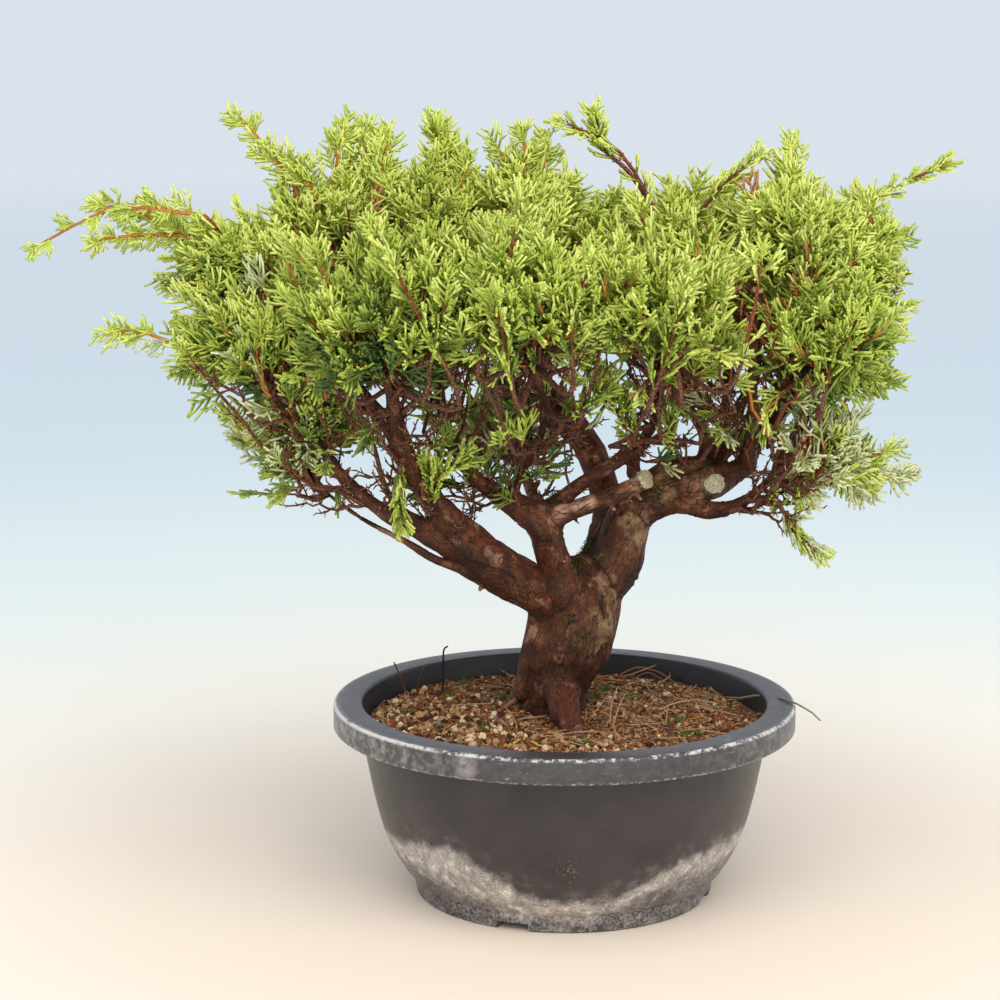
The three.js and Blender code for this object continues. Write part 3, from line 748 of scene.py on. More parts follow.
@dataclass
class MeshParts:
    """Corners and faces gathered for one piece, each face with the number of its finish."""

    points: list[Array] = field(default_factory=list)
    faces: list[Array] = field(default_factory=list)
    finishes: list[Array] = field(default_factory=list)
    total: int = 0

    def add(self, points: Array, faces: Array, finish: Array | int = 0) -> None:
        """Adds a batch.

        Args:
            points: Its corners.
            faces: Its faces by the numbers of their corners, which are as many for each.
            finish: The finish of each face, or one for all.
        """
        self.points.append(points.reshape(-1, 3))
        self.faces.append(faces + self.total)
        self.finishes.append(np.broadcast_to(np.asarray(finish), (len(faces),)))
        self.total += len(self.points[-1])

    def cap(self, first: Array, last: Array, finish: Array | int = 0) -> None:
        """Closes what was added last with faces of many corners at its two ends."""
        self.faces.append(np.concatenate([np.atleast_2d(first), np.atleast_2d(last)]))
        self.finishes.append(np.broadcast_to(np.asarray(finish), (len(self.faces[-1]),)))

    def add_strands(self, strands: Strands, sides: int, body: Array | int = 0, tip: Array | int | None = None,
                    tip_steps: int = 1) -> None:
        """Adds a closed tube for each strand.

        Args:
            strands: The strands.
            sides: How many sides a tube has.
            body: The finish of each strand, or one for all.
            tip: The finish of each strand's end, where it differs.
            tip_steps: How many steps from the end take the tip's finish.
        """
        count, rings = strands.radii.shape
        if count == 0:
            return
        tangent = unit(np.gradient(strands.points, axis=1))
        across, beside = frame_on(tangent, strands.side[:, None])
        turn = turns(sides)
        ring = across[:, :, None] * np.cos(turn)[:, None] + beside[:, :, None] * np.sin(turn)[:, None]
        corners = strands.points[:, :, None] + ring * strands.radii[:, :, None, None]
        index = np.arange(rings * sides).reshape(rings, sides)
        turned = np.roll(index, -1, axis=1)
        quads = np.stack([index[:-1], turned[:-1], turned[1:], index[1:]], -1)
        starts = (np.arange(count) * rings * sides)[:, None, None]
        bodies = np.broadcast_to(np.asarray(body), (count,))
        tips = bodies if tip is None else np.broadcast_to(np.asarray(tip), (count,))
        step = np.arange(rings - 1)[None, :, None]
        looks = np.where(step >= rings - 1 - tip_steps, tips[:, None, None], bodies[:, None, None])
        looks = np.broadcast_to(looks, (count, rings - 1, sides))
        ends = starts[:, 0] + self.total
        self.add(corners, (quads.reshape(1, -1, 4) + starts).reshape(-1, 4), looks.reshape(-1))
        self.cap(index[-1] + ends, index[0][::-1] + ends, np.concatenate([tips, bodies]))

    def piece(self, name: str, finishes: Sequence[Finish], smooth: bool = True) -> Piece:
        """Makes the object.

        Args:
            name: The piece's name.
            finishes: Its materials, in the order of their numbers.
            smooth: Whether its faces are shaded smooth.

        Returns:
            The linked object.
        """
        mesh = bpy.data.meshes.new(name)
        points = np.concatenate(self.points) * MM
        loops = np.concatenate([batch.ravel() for batch in self.faces]).astype(np.int32)
        totals = np.concatenate([np.full(len(batch), batch.shape[1]) for batch in self.faces])
        starts = np.concatenate([[0], np.cumsum(totals)[:-1]]).astype(np.int32)
        mesh.vertices.add(len(points))
        mesh.vertices.foreach_set("co", points.astype(np.float32).ravel())
        mesh.loops.add(len(loops))
        mesh.loops.foreach_set("vertex_index", loops)
        mesh.polygons.add(len(starts))
        mesh.polygons.foreach_set("loop_start", starts)
        mesh.polygons.foreach_set("material_index", np.concatenate(self.finishes).astype(np.int32))
        mesh.update(calc_edges=True)
        mesh.polygons.foreach_set("use_smooth", np.full(len(starts), smooth))
        for finish in finishes:
            mesh.materials.append(finish)
        return linked(name, mesh)


def ringed(points: Array, flipped: bool = False) -> MeshParts:
    """A closed body through rings of corners.

    Args:
        points: The corners, of shape (rings, sides, 3).
        flipped: Whether its faces are turned over.

    Returns:
        Its corners and faces.
    """
    index = np.arange(points.shape[0] * points.shape[1]).reshape(points.shape[:2])
    after = np.roll(index, -1, axis=1)
    step = -1 if flipped else 1
    quads = np.stack([index[:-1], index[1:], after[1:], after[:-1]], -1).reshape(-1, 4)
    parts = MeshParts()
    parts.add(points, quads[:, [0, 3, 2, 1]] if flipped else quads)
    parts.cap(index[0][::step], index[-1][::-step])
    return parts


def linked(name: str, data: bpy.types.ID) -> Piece:
    """An object for a mesh, a light or a camera, in the scene.

    Args:
        name: The object's name.
        data: What it shows.

    Returns:
        The object.
    """
    made = bpy.data.objects.new(name, data)
    bpy.context.scene.collection.objects.link(made)
    return made


def settled(piece: Piece, slot: str, *nodes: str) -> Piece:
    """Puts a piece on the one body and reports it.

    Args:
        piece: The piece.
        slot: The name of its finish's slot, only written to the log.
        *nodes: The nodes that it stands for.

    Returns:
        The piece.
    """
    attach(piece, BODY)
    if nodes:
        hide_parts(*nodes)
    mesh = piece.data
    mesh.calc_loop_triangles()
    LOG.info("%s: %d triangles, slot %s, stands for %d nodes", piece.name, len(mesh.loop_triangles), slot,
             len(nodes))
    return piece


def surface_of(mesh: bpy.types.Mesh) -> tuple[Array, Array]:
    """What a mesh's surface is.

    Args:
        mesh: The mesh.

    Returns:
        Its corners, in metres, and the normal at each.
    """
    corners = np.empty(len(mesh.vertices) * 3, np.float32)
    normals = np.empty_like(corners)
    mesh.vertices.foreach_get("co", corners)
    mesh.vertex_normals.foreach_get("vector", normals)
    return corners.reshape(-1, 3), normals.reshape(-1, 3)


def applied(made: Piece) -> Piece:
    """Works an object's modifiers into its mesh.

    Args:
        made: The object.

    Returns:
        The same object with a new mesh.
    """
    graph = bpy.context.evaluated_depsgraph_get()
    graph.update()
    mesh = bpy.data.meshes.new_from_object(made.evaluated_get(graph))
    made.modifiers.clear()
    old = made.data
    made.data = mesh
    bpy.data.meshes.remove(old)
    return made


# Noise that a mesh carries


class Chance:
    """Seeded noise on points in space."""

    def __init__(self, seed: int) -> None:
        """Draws the tables that the noise reads.

        Args:
            seed: The seed.
        """
        rng = np.random.default_rng(seed)
        self.order = rng.permutation(256)
        self.slopes = unit(rng.normal(size=(256, 3)))
        self.centres = rng.random((256, 3))

    def entry(self, cells: Array) -> Array:
        """The table entry of each cell of a grid.

        Args:
            cells: The cells, by whole numbers.

        Returns:
            A number from 0 to 255 for each.
        """
        first = self.order[cells[..., 0] & 255]
        second = self.order[(first + cells[..., 1]) & 255]
        return self.order[(second + cells[..., 2]) & 255]

    def soft(self, points: Array) -> Array:
        """Smooth noise from about -1 to 1, with features about 1 across.

        Args:
            points: Where it is read.

        Returns:
            Its value at each point.
        """
        base = np.floor(points).astype(int)
        part = points - base
        fade = part ** 3 * (part * (part * 6 - 15) + 10)
        total = np.zeros(points.shape[:-1])
        for corner in np.ndindex(2, 2, 2):
            step = np.array(corner)
            weight = np.prod(np.where(step == 1, fade, 1 - fade), axis=-1)
            total += weight * np.sum(self.slopes[self.entry(base + step)] * (part - step), axis=-1)
        return total * 1.6

    def plates(self, points: Array) -> tuple[Array, Array]:
        """Voronoi plates about 1 across.

        Args:
            points: Where they are read.

        Returns:
            How far each point is from its plate's edge, and a level from 0 to 1 for its plate.
        """
        base = np.floor(points).astype(int)
        nearest = np.full(points.shape[:-1], 9.0)
        second = nearest.copy()
        level = np.zeros(points.shape[:-1])
        for corner in np.ndindex(3, 3, 3):
            cell = base + np.array(corner) - 1
            centre = self.centres[self.entry(cell)]
            distance = np.linalg.norm(cell + centre - points, axis=-1)
            closer = distance < nearest
            second = np.where(closer, nearest, np.minimum(second, distance))
            level = np.where(closer, centre[..., 0], level)
            nearest = np.where(closer, distance, nearest)
        return second - nearest, level


# The limbs, as rows of x, y, z and radius


@dataclass(frozen=True)
class Limb:
    """A tapering limb along a smooth line through its rows."""

    name: str
    route: tuple[Row, ...]

    def sampled(self, count: int) -> tuple[Array, Array]:
        """Places along the limb.

        Args:
            count: How many.

        Returns:
            Points on the centripetal Catmull-Rom curve through the rows, and the radius at each.
        """
        rows = np.array(self.route, float)
        places = np.vstack([2 * rows[0] - rows[1], rows, 2 * rows[-1] - rows[-2]])[:, :3]
        along = np.linspace(0, len(rows) - 1 - 1e-9, count)
        low = along.astype(int)
        part = (along - low)[:, None]
        before, start, end, after = (places[low + k] for k in range(4))
        gaps = [np.sqrt(np.linalg.norm(b - a, axis=1))[:, None]
                for a, b in ((before, start), (start, end), (end, after))]
        first = ((start - before) / gaps[0] - (end - before) / (gaps[0] + gaps[1]) + (end - start) / gaps[1])
        last = ((end - start) / gaps[1] - (after - start) / (gaps[1] + gaps[2]) + (after - end) / gaps[2])
        first, last = first * gaps[1], last * gaps[1]
        square = -3 * start + 3 * end - 2 * first - last
        cube = 2 * start - 2 * end + first + last
        points = start + first * part + square * part ** 2 + cube * part ** 3
        radii = np.interp(along, np.arange(len(rows)), rows[:, 3])
        return points, radii

    def length(self) -> float:
        """Its rough length."""
        rows = np.array(self.route)[:, :3]
        return float(np.linalg.norm(np.diff(rows, axis=0), axis=1).sum())


TRUNK = Limb("trunk", (
    (-6, 15, 78, 18.0), (-5, 14, 96, 16.2), (-2.5, 12, 108, 18.4), (2.5, 10, 121, 20.8), (6, 9, 131, 20.6),
    (8, 8, 141, 19.6), (7.5, 8, 150, 18.8), (7, 8, 158, 11)))

ROOTS = (
    Limb("root_front", ((-3, 12, 108, 6), (-1, -4, 100, 8.4), (1, -20, 93, 6.6), (4.5, -35, 87.5, 4.6),
        (8, -46, 83, 3.2))),
    Limb("root_back_left", ((-8, 20, 100, 7), (-11, 32, 93, 5), (-18, 46, 84, 3))),
    Limb("root_back_right", ((0, 19, 99, 6), (6, 27, 93, 4), (15, 36, 84, 2.4))),
    Limb("root_left", ((-15, 12, 105, 4.6), (-22, 7, 98, 2.3), (-29, 3, 92, 1.6), (-37, 0, 86, 1.2))),
    Limb("ridge_left", ((-21, 6, 96, 3.4), (-19, 5, 108, 3.8), (-16.5, 4, 120, 4.4), (-14, 3, 131, 4.6),
        (-12, 3, 142, 4.4), (-10, 4, 150, 5))),
)

BOUGHS = (
    Limb("bough_left", ((0, 5, 143, 10), (-21, -4, 157, 11), (-47, -18, 178, 10.4), (-63, -34, 202, 6),
        (-77, -46, 226, 4.3), (-81, -57, 249, 3))),
    Limb("bough_left_low", ((-44, -19, 172, 6), (-66, -30, 186, 5.8), (-92, -38, 201, 3.6),
        (-110, -40, 219, 2.7), (-123, -37, 236, 2.1))),
    Limb("bough_left_under", ((-44, -22, 166, 1.9), (-62, -28, 172, 1.7), (-78, -29, 182, 1.6),
        (-99, -22, 192, 1.4), (-118, -13, 204, 1.2))),
    Limb("bough_far_left", ((-75, -44, 222, 3.2), (-90, -38, 246, 2.9), (-112, -24, 272, 2.5),
        (-132, -12, 293, 2))),
    Limb("bough_upper_left", ((-79, -50, 233, 3), (-87, -22, 262, 2.7), (-101, 0, 289, 2.3),
        (-112, 8, 306, 2))),
    Limb("bough_middle", ((0, -2, 148, 8), (-6, -10, 172, 7.8), (-12, -14, 189, 8.4), (-28, -13, 199, 4.8),
        (-45, -12, 211, 3.8), (-58, -14, 236, 3), (-63, -4, 272, 2.5), (-62, 12, 305, 2))),
    Limb("bough_middle_stub", ((-10, -15, 190, 5.2), (9, -18, 197, 4.5), (24, -18, 203, 4.6),
        (35, -18, 208.6, 4.3))),
    Limb("bough_middle_riser", ((-10, -11, 193, 4), (10, -6, 208, 3.5), (23, 0, 215, 3.4), (36, 0, 225, 2.9),
        (43, -16, 239, 2.4), (44, -36, 254, 2))),
    Limb("bough_centre_front", ((-28, -13, 199, 2.4), (-21, -19, 215, 2), (-13, -29, 232, 1.9),
        (-11, -43, 249, 1.8), (-14, -57, 263, 1.7))),
    Limb("bough_middle_back", ((-12, -8, 191, 3.2), (-19, 22, 205, 2.8), (-23, 42, 212, 2.5),
        (-25, 60, 213, 2.2))),
    Limb("bough_right", ((8, 10, 146, 12), (25, 13, 161, 11.4), (29.5, 16, 175, 10), (33, 15, 188, 9.8),
        (51, 8, 197, 8.2), (72, 3, 206, 7.4), (88, 6, 213, 4.4), (95, 10, 228, 3.8),
        (108, 14, 249, 3), (113, 8, 277, 2.5), (114, 4, 302, 2))),
    Limb("bough_right_riser", ((68, 5, 207, 4.6), (70, 14, 224, 3.3), (66, 17, 235, 2.8), (55, 13, 247, 2.6),
        (51, 8, 266, 2.4), (50, 13, 289, 2.2), (55, 23, 303, 2))),
    Limb("bough_right_low", ((58, 2, 196, 4.8), (71, -6, 193, 4.1), (82, -12, 196, 3.3), (91, -18, 203, 2.6),
        (99, -24, 212, 2))),
    Limb("bough_right_cut", ((90, 6, 213, 3.4), (91, -10, 232, 3), (89, -25, 256, 2.8), (90, -34, 303, 2.7))),
    Limb("bough_right_front", ((94, 9, 224, 2.8), (103, -6, 238, 2.6), (111, -18, 250, 2.3),
        (118, -27, 261, 2))),
    Limb("bough_far_right", ((103, 13, 240, 2.8), (123, 22, 261, 2.6), (139, 19, 284, 2.3),
        (147, 15, 298, 2))),
    Limb("bough_back_right", ((76, 5, 208, 3.6), (80, 30, 226, 3.1), (84, 54, 246, 2.6), (87, 73, 262, 2.2))),
    Limb("bough_back", ((16, 16, 158, 9), (23, 29, 181, 8.6), (21, 37, 198, 8.1), (12, 46, 218, 7.7),
        (-4, 58, 236, 6.6), (-14, 62, 260, 4.2), (-14, 49, 286, 2.6), (-11, 35, 306, 2))),
    Limb("bough_back_left", ((6, 51, 226, 4), (-20, 66, 240, 3.2), (-50, 80, 255, 2.7), (-73, 90, 269, 2.2))),
    Limb("bough_back_centre", ((-5, 58, 238, 3.6), (-10, 78, 252, 2.8), (-12, 96, 271, 2.2))),
)

# Thicker places: under the left bough, right of the fork, and the collar round the healed cut
SWELLS = (
    Limb("swell_left", ((-18, -4, 153, 7.5), (-32, -11, 162, 9.4), (-46, -18, 173.5, 8.8),
        (-54, -25, 186, 7))),
    Limb("swell_right", ((10, 9, 146, 9), (21, 11, 156, 11.4), (26.5, 12, 167, 11.6), (30, 13, 178, 10.2),
        (35, 12, 188, 8))),
    Limb("collar", ((73, 4, 206, 6.4), (73, 0, 206.3, 6.9), (73, -2.2, 206.5, 6.2))),
    Limb("knob", ((34, 8, 208, 3.4), (34, 4, 217, 2.8), (34, 3, 222, 2.4))),
    Limb("ridge_right", ((40, 8, 204, 4.4), (49, 7, 210, 5), (59, 5, 213.5, 4.6), (69, 5, 214, 3.6))),
)


def limb_named(name: str) -> Limb:
    """The bough of that name."""
    return next(limb for limb in BOUGHS if limb.name == name)


def curve(places: Sequence[Sequence[float]], count: int) -> Array:
    """So many points on the smooth line through some places."""
    return Limb("line", tuple((*place, 1.0) for place in places)).sampled(count)[0]


@dataclass
class Wood:
    """The trunk, its roots and the boughs as one piece with the bark's relief."""

    voxel: float = 0.95
    ring_step: float = 1.6
    sides: int = 18
    cut_height: float = 86.4
    fillet: float = 2.4
    fillet_rise: float = 2.6
    spur_count: int = 46
    tufts: int = 420
    spur_length: Span = (1.5, 5.5)
    spur_radius: Span = (0.8, 1.4)
    least_spurred: float = 2.0
    ease_share: float = 0.5
    ease_rounds: int = 3
    least_weight: float = 0.03
    grain_shift: float = 40.0
    plate_size: Place = (7.5, 7.5, 15.0)
    seam_size: Place = (8.0, 8.0, 42.0)
    plate_step: float = 0.4
    crack_depth: float = 0.55
    seam_depth: float = 1.3
    lump_depth: float = 1.5
    round_end: tuple[Span, ...] = ((0.45, 0.86), (0.72, 0.6), (0.86, 0.2))
    batch: int = 8192
    fold_limbs: tuple[str, ...] = (
        "bough_right", "bough_right_low", "swell_right", "bough_middle", "root_front")
    fold_pitch: float = 3.1
    fold_depth: float = 0.55
    knot_depth: float = 1.1
    full_relief_radius: float = 9.0
    knots: tuple[Row, ...] = (
        (22, -22, 203, 1.7), (32, 4, 169, 1.8), (-8, -21, 182, 1.6), (15, -11, 140, 1.8), (20, -5, 124, 2.2),
        (-19, -20, 195, 1.5), (47, 1, 199, 1.6), (-3, -11, 119, 1.8), (-32, -21, 171, 2.0),
        (-46, -29, 183, 1.7), (23, -3, 148, 1.9), (61, -3, 203, 1.5), (8, 28, 130, 2.4),
        (-12, 20, 118, 2.2), (24, 18, 150, 2.0))
    spots: dict[str, tuple[Row, ...]] = field(default_factory=lambda: {
        "moss": ((7, -2, 167, 7), (18, 6, 166, 6), (-5, -12, 199, 5), (36, -18, 208, 4.5), (42, 2, 200, 7),
                 (26, 0, 196, 6), (13, 17, 171, 7), (-3, -8, 160, 4), (-20, 0, 160, 5), (14, -6, 160, 4)),
        "olive": ((10, -12, 129, 11), (0, -12, 139, 7), (18, 6, 166, 9), (-47, -28, 175, 8),
                  (-5, -13, 157, 6), (23, 10, 180, 6), (-14, 20, 130, 10), (10, 26, 116, 9)),
        # tan: worn bark and a painted highlight, mostly on the right side of the trunk
        "tan": ((21, -6, 137, 11), (23, -3, 147, 8), (38, 6, 178, 9), (31, 4, 187, 6), (17, -8, 124, 8),
                (-20, 14, 112, 9), (48, -2, 200, 8), (68, -4, 204, 9)),
        "red": ((-2, -19, 101, 11), (2, -31, 94, 12), (-12, -14, 168, 11), (-30, -17, 198, 16),
                (-6, -14, 146, 11), (-40, -26, 178, 12), (12, 40, 200, 30)),
        "peel": ((-2, -20, 196, 5), (5, -21, 199, 5), (12, -21, 200, 4), (33, -20, 209, 5),
                 (38, -20, 211, 6)),
    })
    seed: int = 41

    @cached_property
    def chance(self) -> Chance:
        """Its noise."""
        return Chance(self.seed)

    def spurs(self) -> list[Limb]:
        """Short stubs of old twigs, at seeded places on the boughs.

        Returns:
            The stubs.
        """
        rng = np.random.default_rng(self.seed + 1)
        found = []
        for _ in range(self.spur_count):
            limb = BOUGHS[rng.integers(len(BOUGHS))]
            points, radii = limb.sampled(60)
            at = rng.integers(6, 54)
            if radii[at] < self.least_spurred:
                continue
            tangent = unit(points[at + 1] - points[at])
            out = unit(np.cross(tangent, rng.normal(size=3)))
            reach = radii[at] + rng.uniform(*self.spur_length)
            thick = rng.uniform(*self.spur_radius)
            end = points[at] + (out + tangent * 0.3) * reach
            found.append(Limb("spur", (
                (*points[at], thick * 1.5), (*(points[at] + (end - points[at]) * 0.6), thick * 1.1),
                (*end, thick * 0.8))))
        return found

    def tubes(self, limbs: Sequence[Limb]) -> Piece:
        """Every limb as a closed tube with a rounded end, all in one mesh.

        Args:
            limbs: The limbs.

        Returns:
            The object with the tubes.
        """
        parts = MeshParts()
        for limb in limbs:
            rings = max(4, round(limb.length() / self.ring_step))
            points, radii = limb.sampled(rings)
            ways = unit(np.gradient(points, axis=0))
            head = [points[-1] + ways[-1] * radii[-1] * out for out, _ in self.round_end]
            points = np.vstack([points, head])
            radii = np.concatenate([radii, [radii[-1] * share for _, share in self.round_end]])
            side = unit(np.cross(ways[0], [0.31, 0.2, 0.93]))
            parts.add_strands(Strands(points[None], radii[None], side[None]), self.sides)
        return parts.piece("wood", [])

    def joined(self, limbs: Sequence[Limb]) -> Piece:
        """The limbs grown into one another and cut flat a little under the soil's top.

        Args:
            limbs: The limbs.

        Returns:
            The object, one closed surface.
        """
        made = self.tubes(limbs)
        remesh = made.modifiers.new("grow together", "REMESH")
        remesh.mode = "VOXEL"
        remesh.voxel_size = self.voxel * MM
        smooth = made.modifiers.new("ease", "SMOOTH")
        smooth.factor = self.ease_share
        smooth.iterations = self.ease_rounds
        made = applied(made)
        shape = bmesh.new()
        shape.from_mesh(made.data)
        everything = shape.verts[:] + shape.edges[:] + shape.faces[:]
        cut = bmesh.ops.bisect_plane(
            shape, geom=everything, plane_co=(0, 0, self.cut_height * MM), plane_no=(0, 0, -1),
            clear_outer=True)
        rims = [edge for edge in cut["geom_cut"] if isinstance(edge, bmesh.types.BMEdge)]
        bmesh.ops.holes_fill(shape, edges=rims, sides=0)
        shape.to_mesh(made.data)
        shape.free()
        return made

    def along(self, limb: Limb, points: Array) -> tuple[Array, Array, Array]:
        """Where points lie beside a limb.

        Args:
            limb: The limb.
            points: The points.

        Returns:
            Each point's distance from the limb's surface, its place on the limb as a vector around and along
            it in millimetres, and the limb's radius there.
        """
        centres, radii = limb.sampled(max(6, round(limb.length())))
        ways = unit(np.gradient(centres, axis=0))
        across = np.zeros_like(ways)
        last = np.array([1.0, 0.0, 0.0])
        for k, way in enumerate(ways):
            last = unit(last - way * last.dot(way))
            across[k] = last
        beside = np.cross(ways, across)
        run = np.concatenate([[0], np.cumsum(np.linalg.norm(np.diff(centres, axis=0), axis=1))])
        nearest = np.empty(len(points), int)
        gap = np.empty(len(points))
        for low in range(0, len(points), self.batch):
            part = slice(low, low + self.batch)
            distance = np.linalg.norm(points[part, None] - centres[None], axis=2) - radii[None]
            nearest[part] = distance.argmin(1)
            gap[part] = distance.min(1)
        local = points - centres[nearest]
        u = np.sum(local * across[nearest], 1)
        w = np.sum(local * beside[nearest], 1)
        s = run[nearest] + np.sum(local * ways[nearest], 1)
        reach = np.maximum(np.hypot(u, w), 1e-6)
        size = radii[nearest]
        return gap, np.stack([u / reach * size, w / reach * size, s], 1), size

    def relief(self, limb: Limb, grain: Array, size: Array) -> tuple[Array, Array]:
        """The bark's height and its cracks on one limb.

        Args:
            limb: The limb.
            grain: Places around and along it.
            size: Its radius at each place.

        Returns:
            How far the bark stands out, in millimetres, and how deep in a crack each place is, from 0 to 1.
        """
        soft = self.chance.soft
        share = np.clip(size / self.full_relief_radius, 0.3, 1.0)
        warp = np.stack([soft(grain / 9 + shift) for shift in (3.1, 7.7, 12.3)], 1) * np.array([2.2, 2.2, 5])
        bent = grain + warp
        edge, level = self.chance.plates(bent / np.array(self.plate_size))
        patch = smoothstep(0.0, 0.45, soft(grain / 14 + 71))
        crack = smoothstep(0.07, 0.01, edge) * patch
        seam = smoothstep(0.05, 0.0, np.abs(soft(bent / np.array(self.seam_size) + 5)))
        seam *= smoothstep(-0.15, 0.2, soft(grain / 17 + 21))
        lumps = soft(grain / np.array([13, 13, 19]) + 31) * self.lump_depth
        lumps = lumps + soft(grain / np.array([6, 6, 8]) + 37) * 0.7
        fine = soft(grain / np.array([1.3, 1.3, 4.5]) + 41) * 0.16
        fine = fine + soft(bent / np.array([3, 3, 6]) + 43) * 0.35
        step = (level - 0.5) * self.plate_step * patch
        height = lumps + step - crack * self.crack_depth - seam * self.seam_depth + fine
        if limb.name in self.fold_limbs:
            wave = np.sin(2 * np.pi * (grain[:, 2] + warp[:, 0] * 1.1) / self.fold_pitch)
            where = smoothstep(0.0, 0.35, soft(grain / np.array([13, 13, 11]) + 51))
            height = height + wave * self.fold_depth * where
            crack = np.maximum(crack, smoothstep(-0.7, -1.0, wave) * where * 0.6)
        return height * share, np.clip(crack * 0.7 + seam, 0, 1)

    def near(self, points: Array, rows: Sequence[Row]) -> Array:
        """A soft mask about some places.

        Args:
            points: Where it is read.
            rows: The places, by x, y, z and radius.

        Returns:
            A share from 0 to 1 for each point.
        """
        mask = np.zeros(len(points))
        ragged = 1 + 0.35 * self.chance.soft(points / 4.0 + 61)
        for *place, radius in rows:
            distance = distances(points, place) * ragged
            mask = np.maximum(mask, smoothstep(radius * 1.25, radius * 0.2, distance))
        return mask

    def barked(self, made: Piece, limbs: Sequence[Limb], spurs: Sequence[Limb]) -> Piece:
        """Moves the surface by the bark's relief and stores what its finish reads.

        Args:
            made: The joined wood.
            limbs: Its limbs.
            spurs: The stubs on them.

        Returns:
            The same object.
        """
        mesh = made.data
        count = len(mesh.vertices)
        points, normals = surface_of(mesh)
        points = points.astype(float) / MM
        beside = [self.along(limb, points) for limb in limbs]
        gaps = np.stack([gap for gap, _, _ in beside])
        closest = gaps.min(0)
        weights = np.exp(-(gaps - closest) / self.fillet)
        fillet = self.fillet * np.log(weights.sum(0))
        height = np.zeros(count)
        crack = np.zeros(count)
        grain = np.zeros((count, 3))
        for number, (limb, (gap, place, size)) in enumerate(zip(limbs, beside)):
            near = np.flatnonzero(weights[number] > self.least_weight)
            if len(near) == 0:
                continue
            shift = self.grain_shift * number
            rise, dark = self.relief(limb, place[near] + shift, size[near])
            share = weights[number, near] / weights[:, near].sum(0)
            height[near] += rise * share
            crack[near] += dark * share
            own = gap[near] <= closest[near]
            grain[near[own]] = place[near[own]] + shift
        level = points[:, 2] > self.cut_height + 0.3
        # Painted shade in the crotches, where limbs meet; it is stored in the crack attribute together with
        # the real cracks and knot rings.
        crotch_shade = smoothstep(1.0, 2.6, fillet)
        rise, ring = self.knotted(points)
        points += normals * ((height + rise + np.minimum(fillet, self.fillet_rise)) * level)[:, None]
        points[:, 2] = np.maximum(points[:, 2], self.cut_height)
        mesh.vertices.foreach_set("co", (points * MM).astype(np.float32).ravel())
        carried = {name: self.near(points, rows) for name, rows in self.spots.items()}
        carried["nub"] = self.near(points, [(*spur.route[-1][:3], 1.3) for spur in spurs])
        carried["crack"] = np.clip(np.maximum(crack + crotch_shade * 0.65, ring), 0, 1)
        # Painted shade, stored for the bark's finish.
        carried["painted_shade"] = self.painted_shade(points, normals)
        for name, values in carried.items():
            mesh.attributes.new(name, "FLOAT", "POINT").data.foreach_set("value", values.astype(np.float32))
        store = mesh.attributes.new("grain", "FLOAT_VECTOR", "POINT")
        store.data.foreach_set("vector", grain.astype(np.float32).ravel())
        mesh.polygons.foreach_set("use_smooth", np.full(len(mesh.polygons), True))
        mesh.update()
        return made

    def painted_shade(self, points: Array, normals: Array) -> Array:
        """Painted shade on the bark: most on its undersides and low on the trunk.

        Args:
            points: Places on the surface.
            normals: The normal at each.

        Returns:
            A share from 0 to 1 for each.
        """
        # Painted shade: faces turned downwards and the lower trunk are darkened.
        under = smoothstep(0.35, -0.75, normals[:, 2])
        low = smoothstep(150.0, 95.0, points[:, 2])
        ragged = 0.8 + 0.4 * self.chance.soft(points / 6.0 + 83)
        return np.clip((under * 0.85 + low * 0.5) * ragged, 0, 1)

    def knotted(self, points: Array) -> tuple[Array, Array]:
        """Healed knots: a bump in a dark ring.

        Args:
            points: Places on the surface.

        Returns:
            How far each place stands out, and how deep in a ring it is, from 0 to 1.
        """
        rise = np.zeros(len(points))
        ring = np.zeros(len(points))
        for *place, radius in self.knots:
            away = distances(points, place) / radius
            rise += self.knot_depth * (np.exp(-away ** 2 * 2.5) + 0.5 * np.exp(-((away - 1.35) / 0.3) ** 2)
                                       - 0.4 * np.exp(-((away - 0.85) / 0.2) ** 2))
            ring = np.maximum(ring, 0.9 * np.exp(-((away - 0.8) / 0.22) ** 2))
        return rise, ring

    def moss_tufts(self, made: Piece) -> Piece:
        """Short moss blades where the bark carries moss, as a piece of its own.

        Args:
            made: The barked wood.

        Returns:
            The tufts.
        """
        rng = np.random.default_rng(self.seed + 3)
        points, normals = surface_of(made.data)
        points = points / MM
        moss = np.empty(len(points), np.float32)
        made.data.attributes["moss"].data.foreach_get("value", moss)
        likely = np.flatnonzero((moss > 0.35) & (normals[:, 2] > -0.35))
        chosen = rng.choice(likely, min(self.tufts, len(likely)), replace=False)
        way = unit(normals[chosen] + UP * 0.4 + rng.normal(0, 0.45, (len(chosen), 3)))
        length = rng.uniform(0.9, 2.1, len(chosen))[:, None, None]
        blades = points[chosen][:, None] + way[:, None] * (np.array([-0.15, 1.0])[None, :, None] * length)
        radii = np.tile([0.2, 0.1], (len(chosen), 1))
        parts = MeshParts()
        parts.add_strands(Strands(blades, radii, unit(np.cross(way, [0.3, 0.2, 0.9]))), 3)
        finish = CrumbFinish("moss_blades", tone(0x39421A), 0.1)
        return settled(parts.piece("bark_moss", [finish.material()]), "bark")

    def build(self) -> Piece:
        """Makes the wood, barks it and puts it in place of the trunk and the boughs.

        Returns:
            The wood.
        """
        limbs = [TRUNK, *ROOTS, *BOUGHS, *SWELLS]
        spurs = self.spurs()
        made = self.barked(self.joined([*limbs, *spurs]), limbs, spurs)
        made.data.materials.append(BarkFinish().material())
        self.moss_tufts(made)
        return settled(made, "bark", TRUNK.name, *(bough.name for bough in BOUGHS))


class Cut(Enum):
    """How a limb was cut, with the pale and dark colours of its face."""

    HEALED = (tone(0xE4DFC0), tone(0x837446))
    SAWN = (tone(0xE2D9B4), tone(0xA28C64))
    FRESH = (tone(0xEFC9A0), tone(0xC98F62))


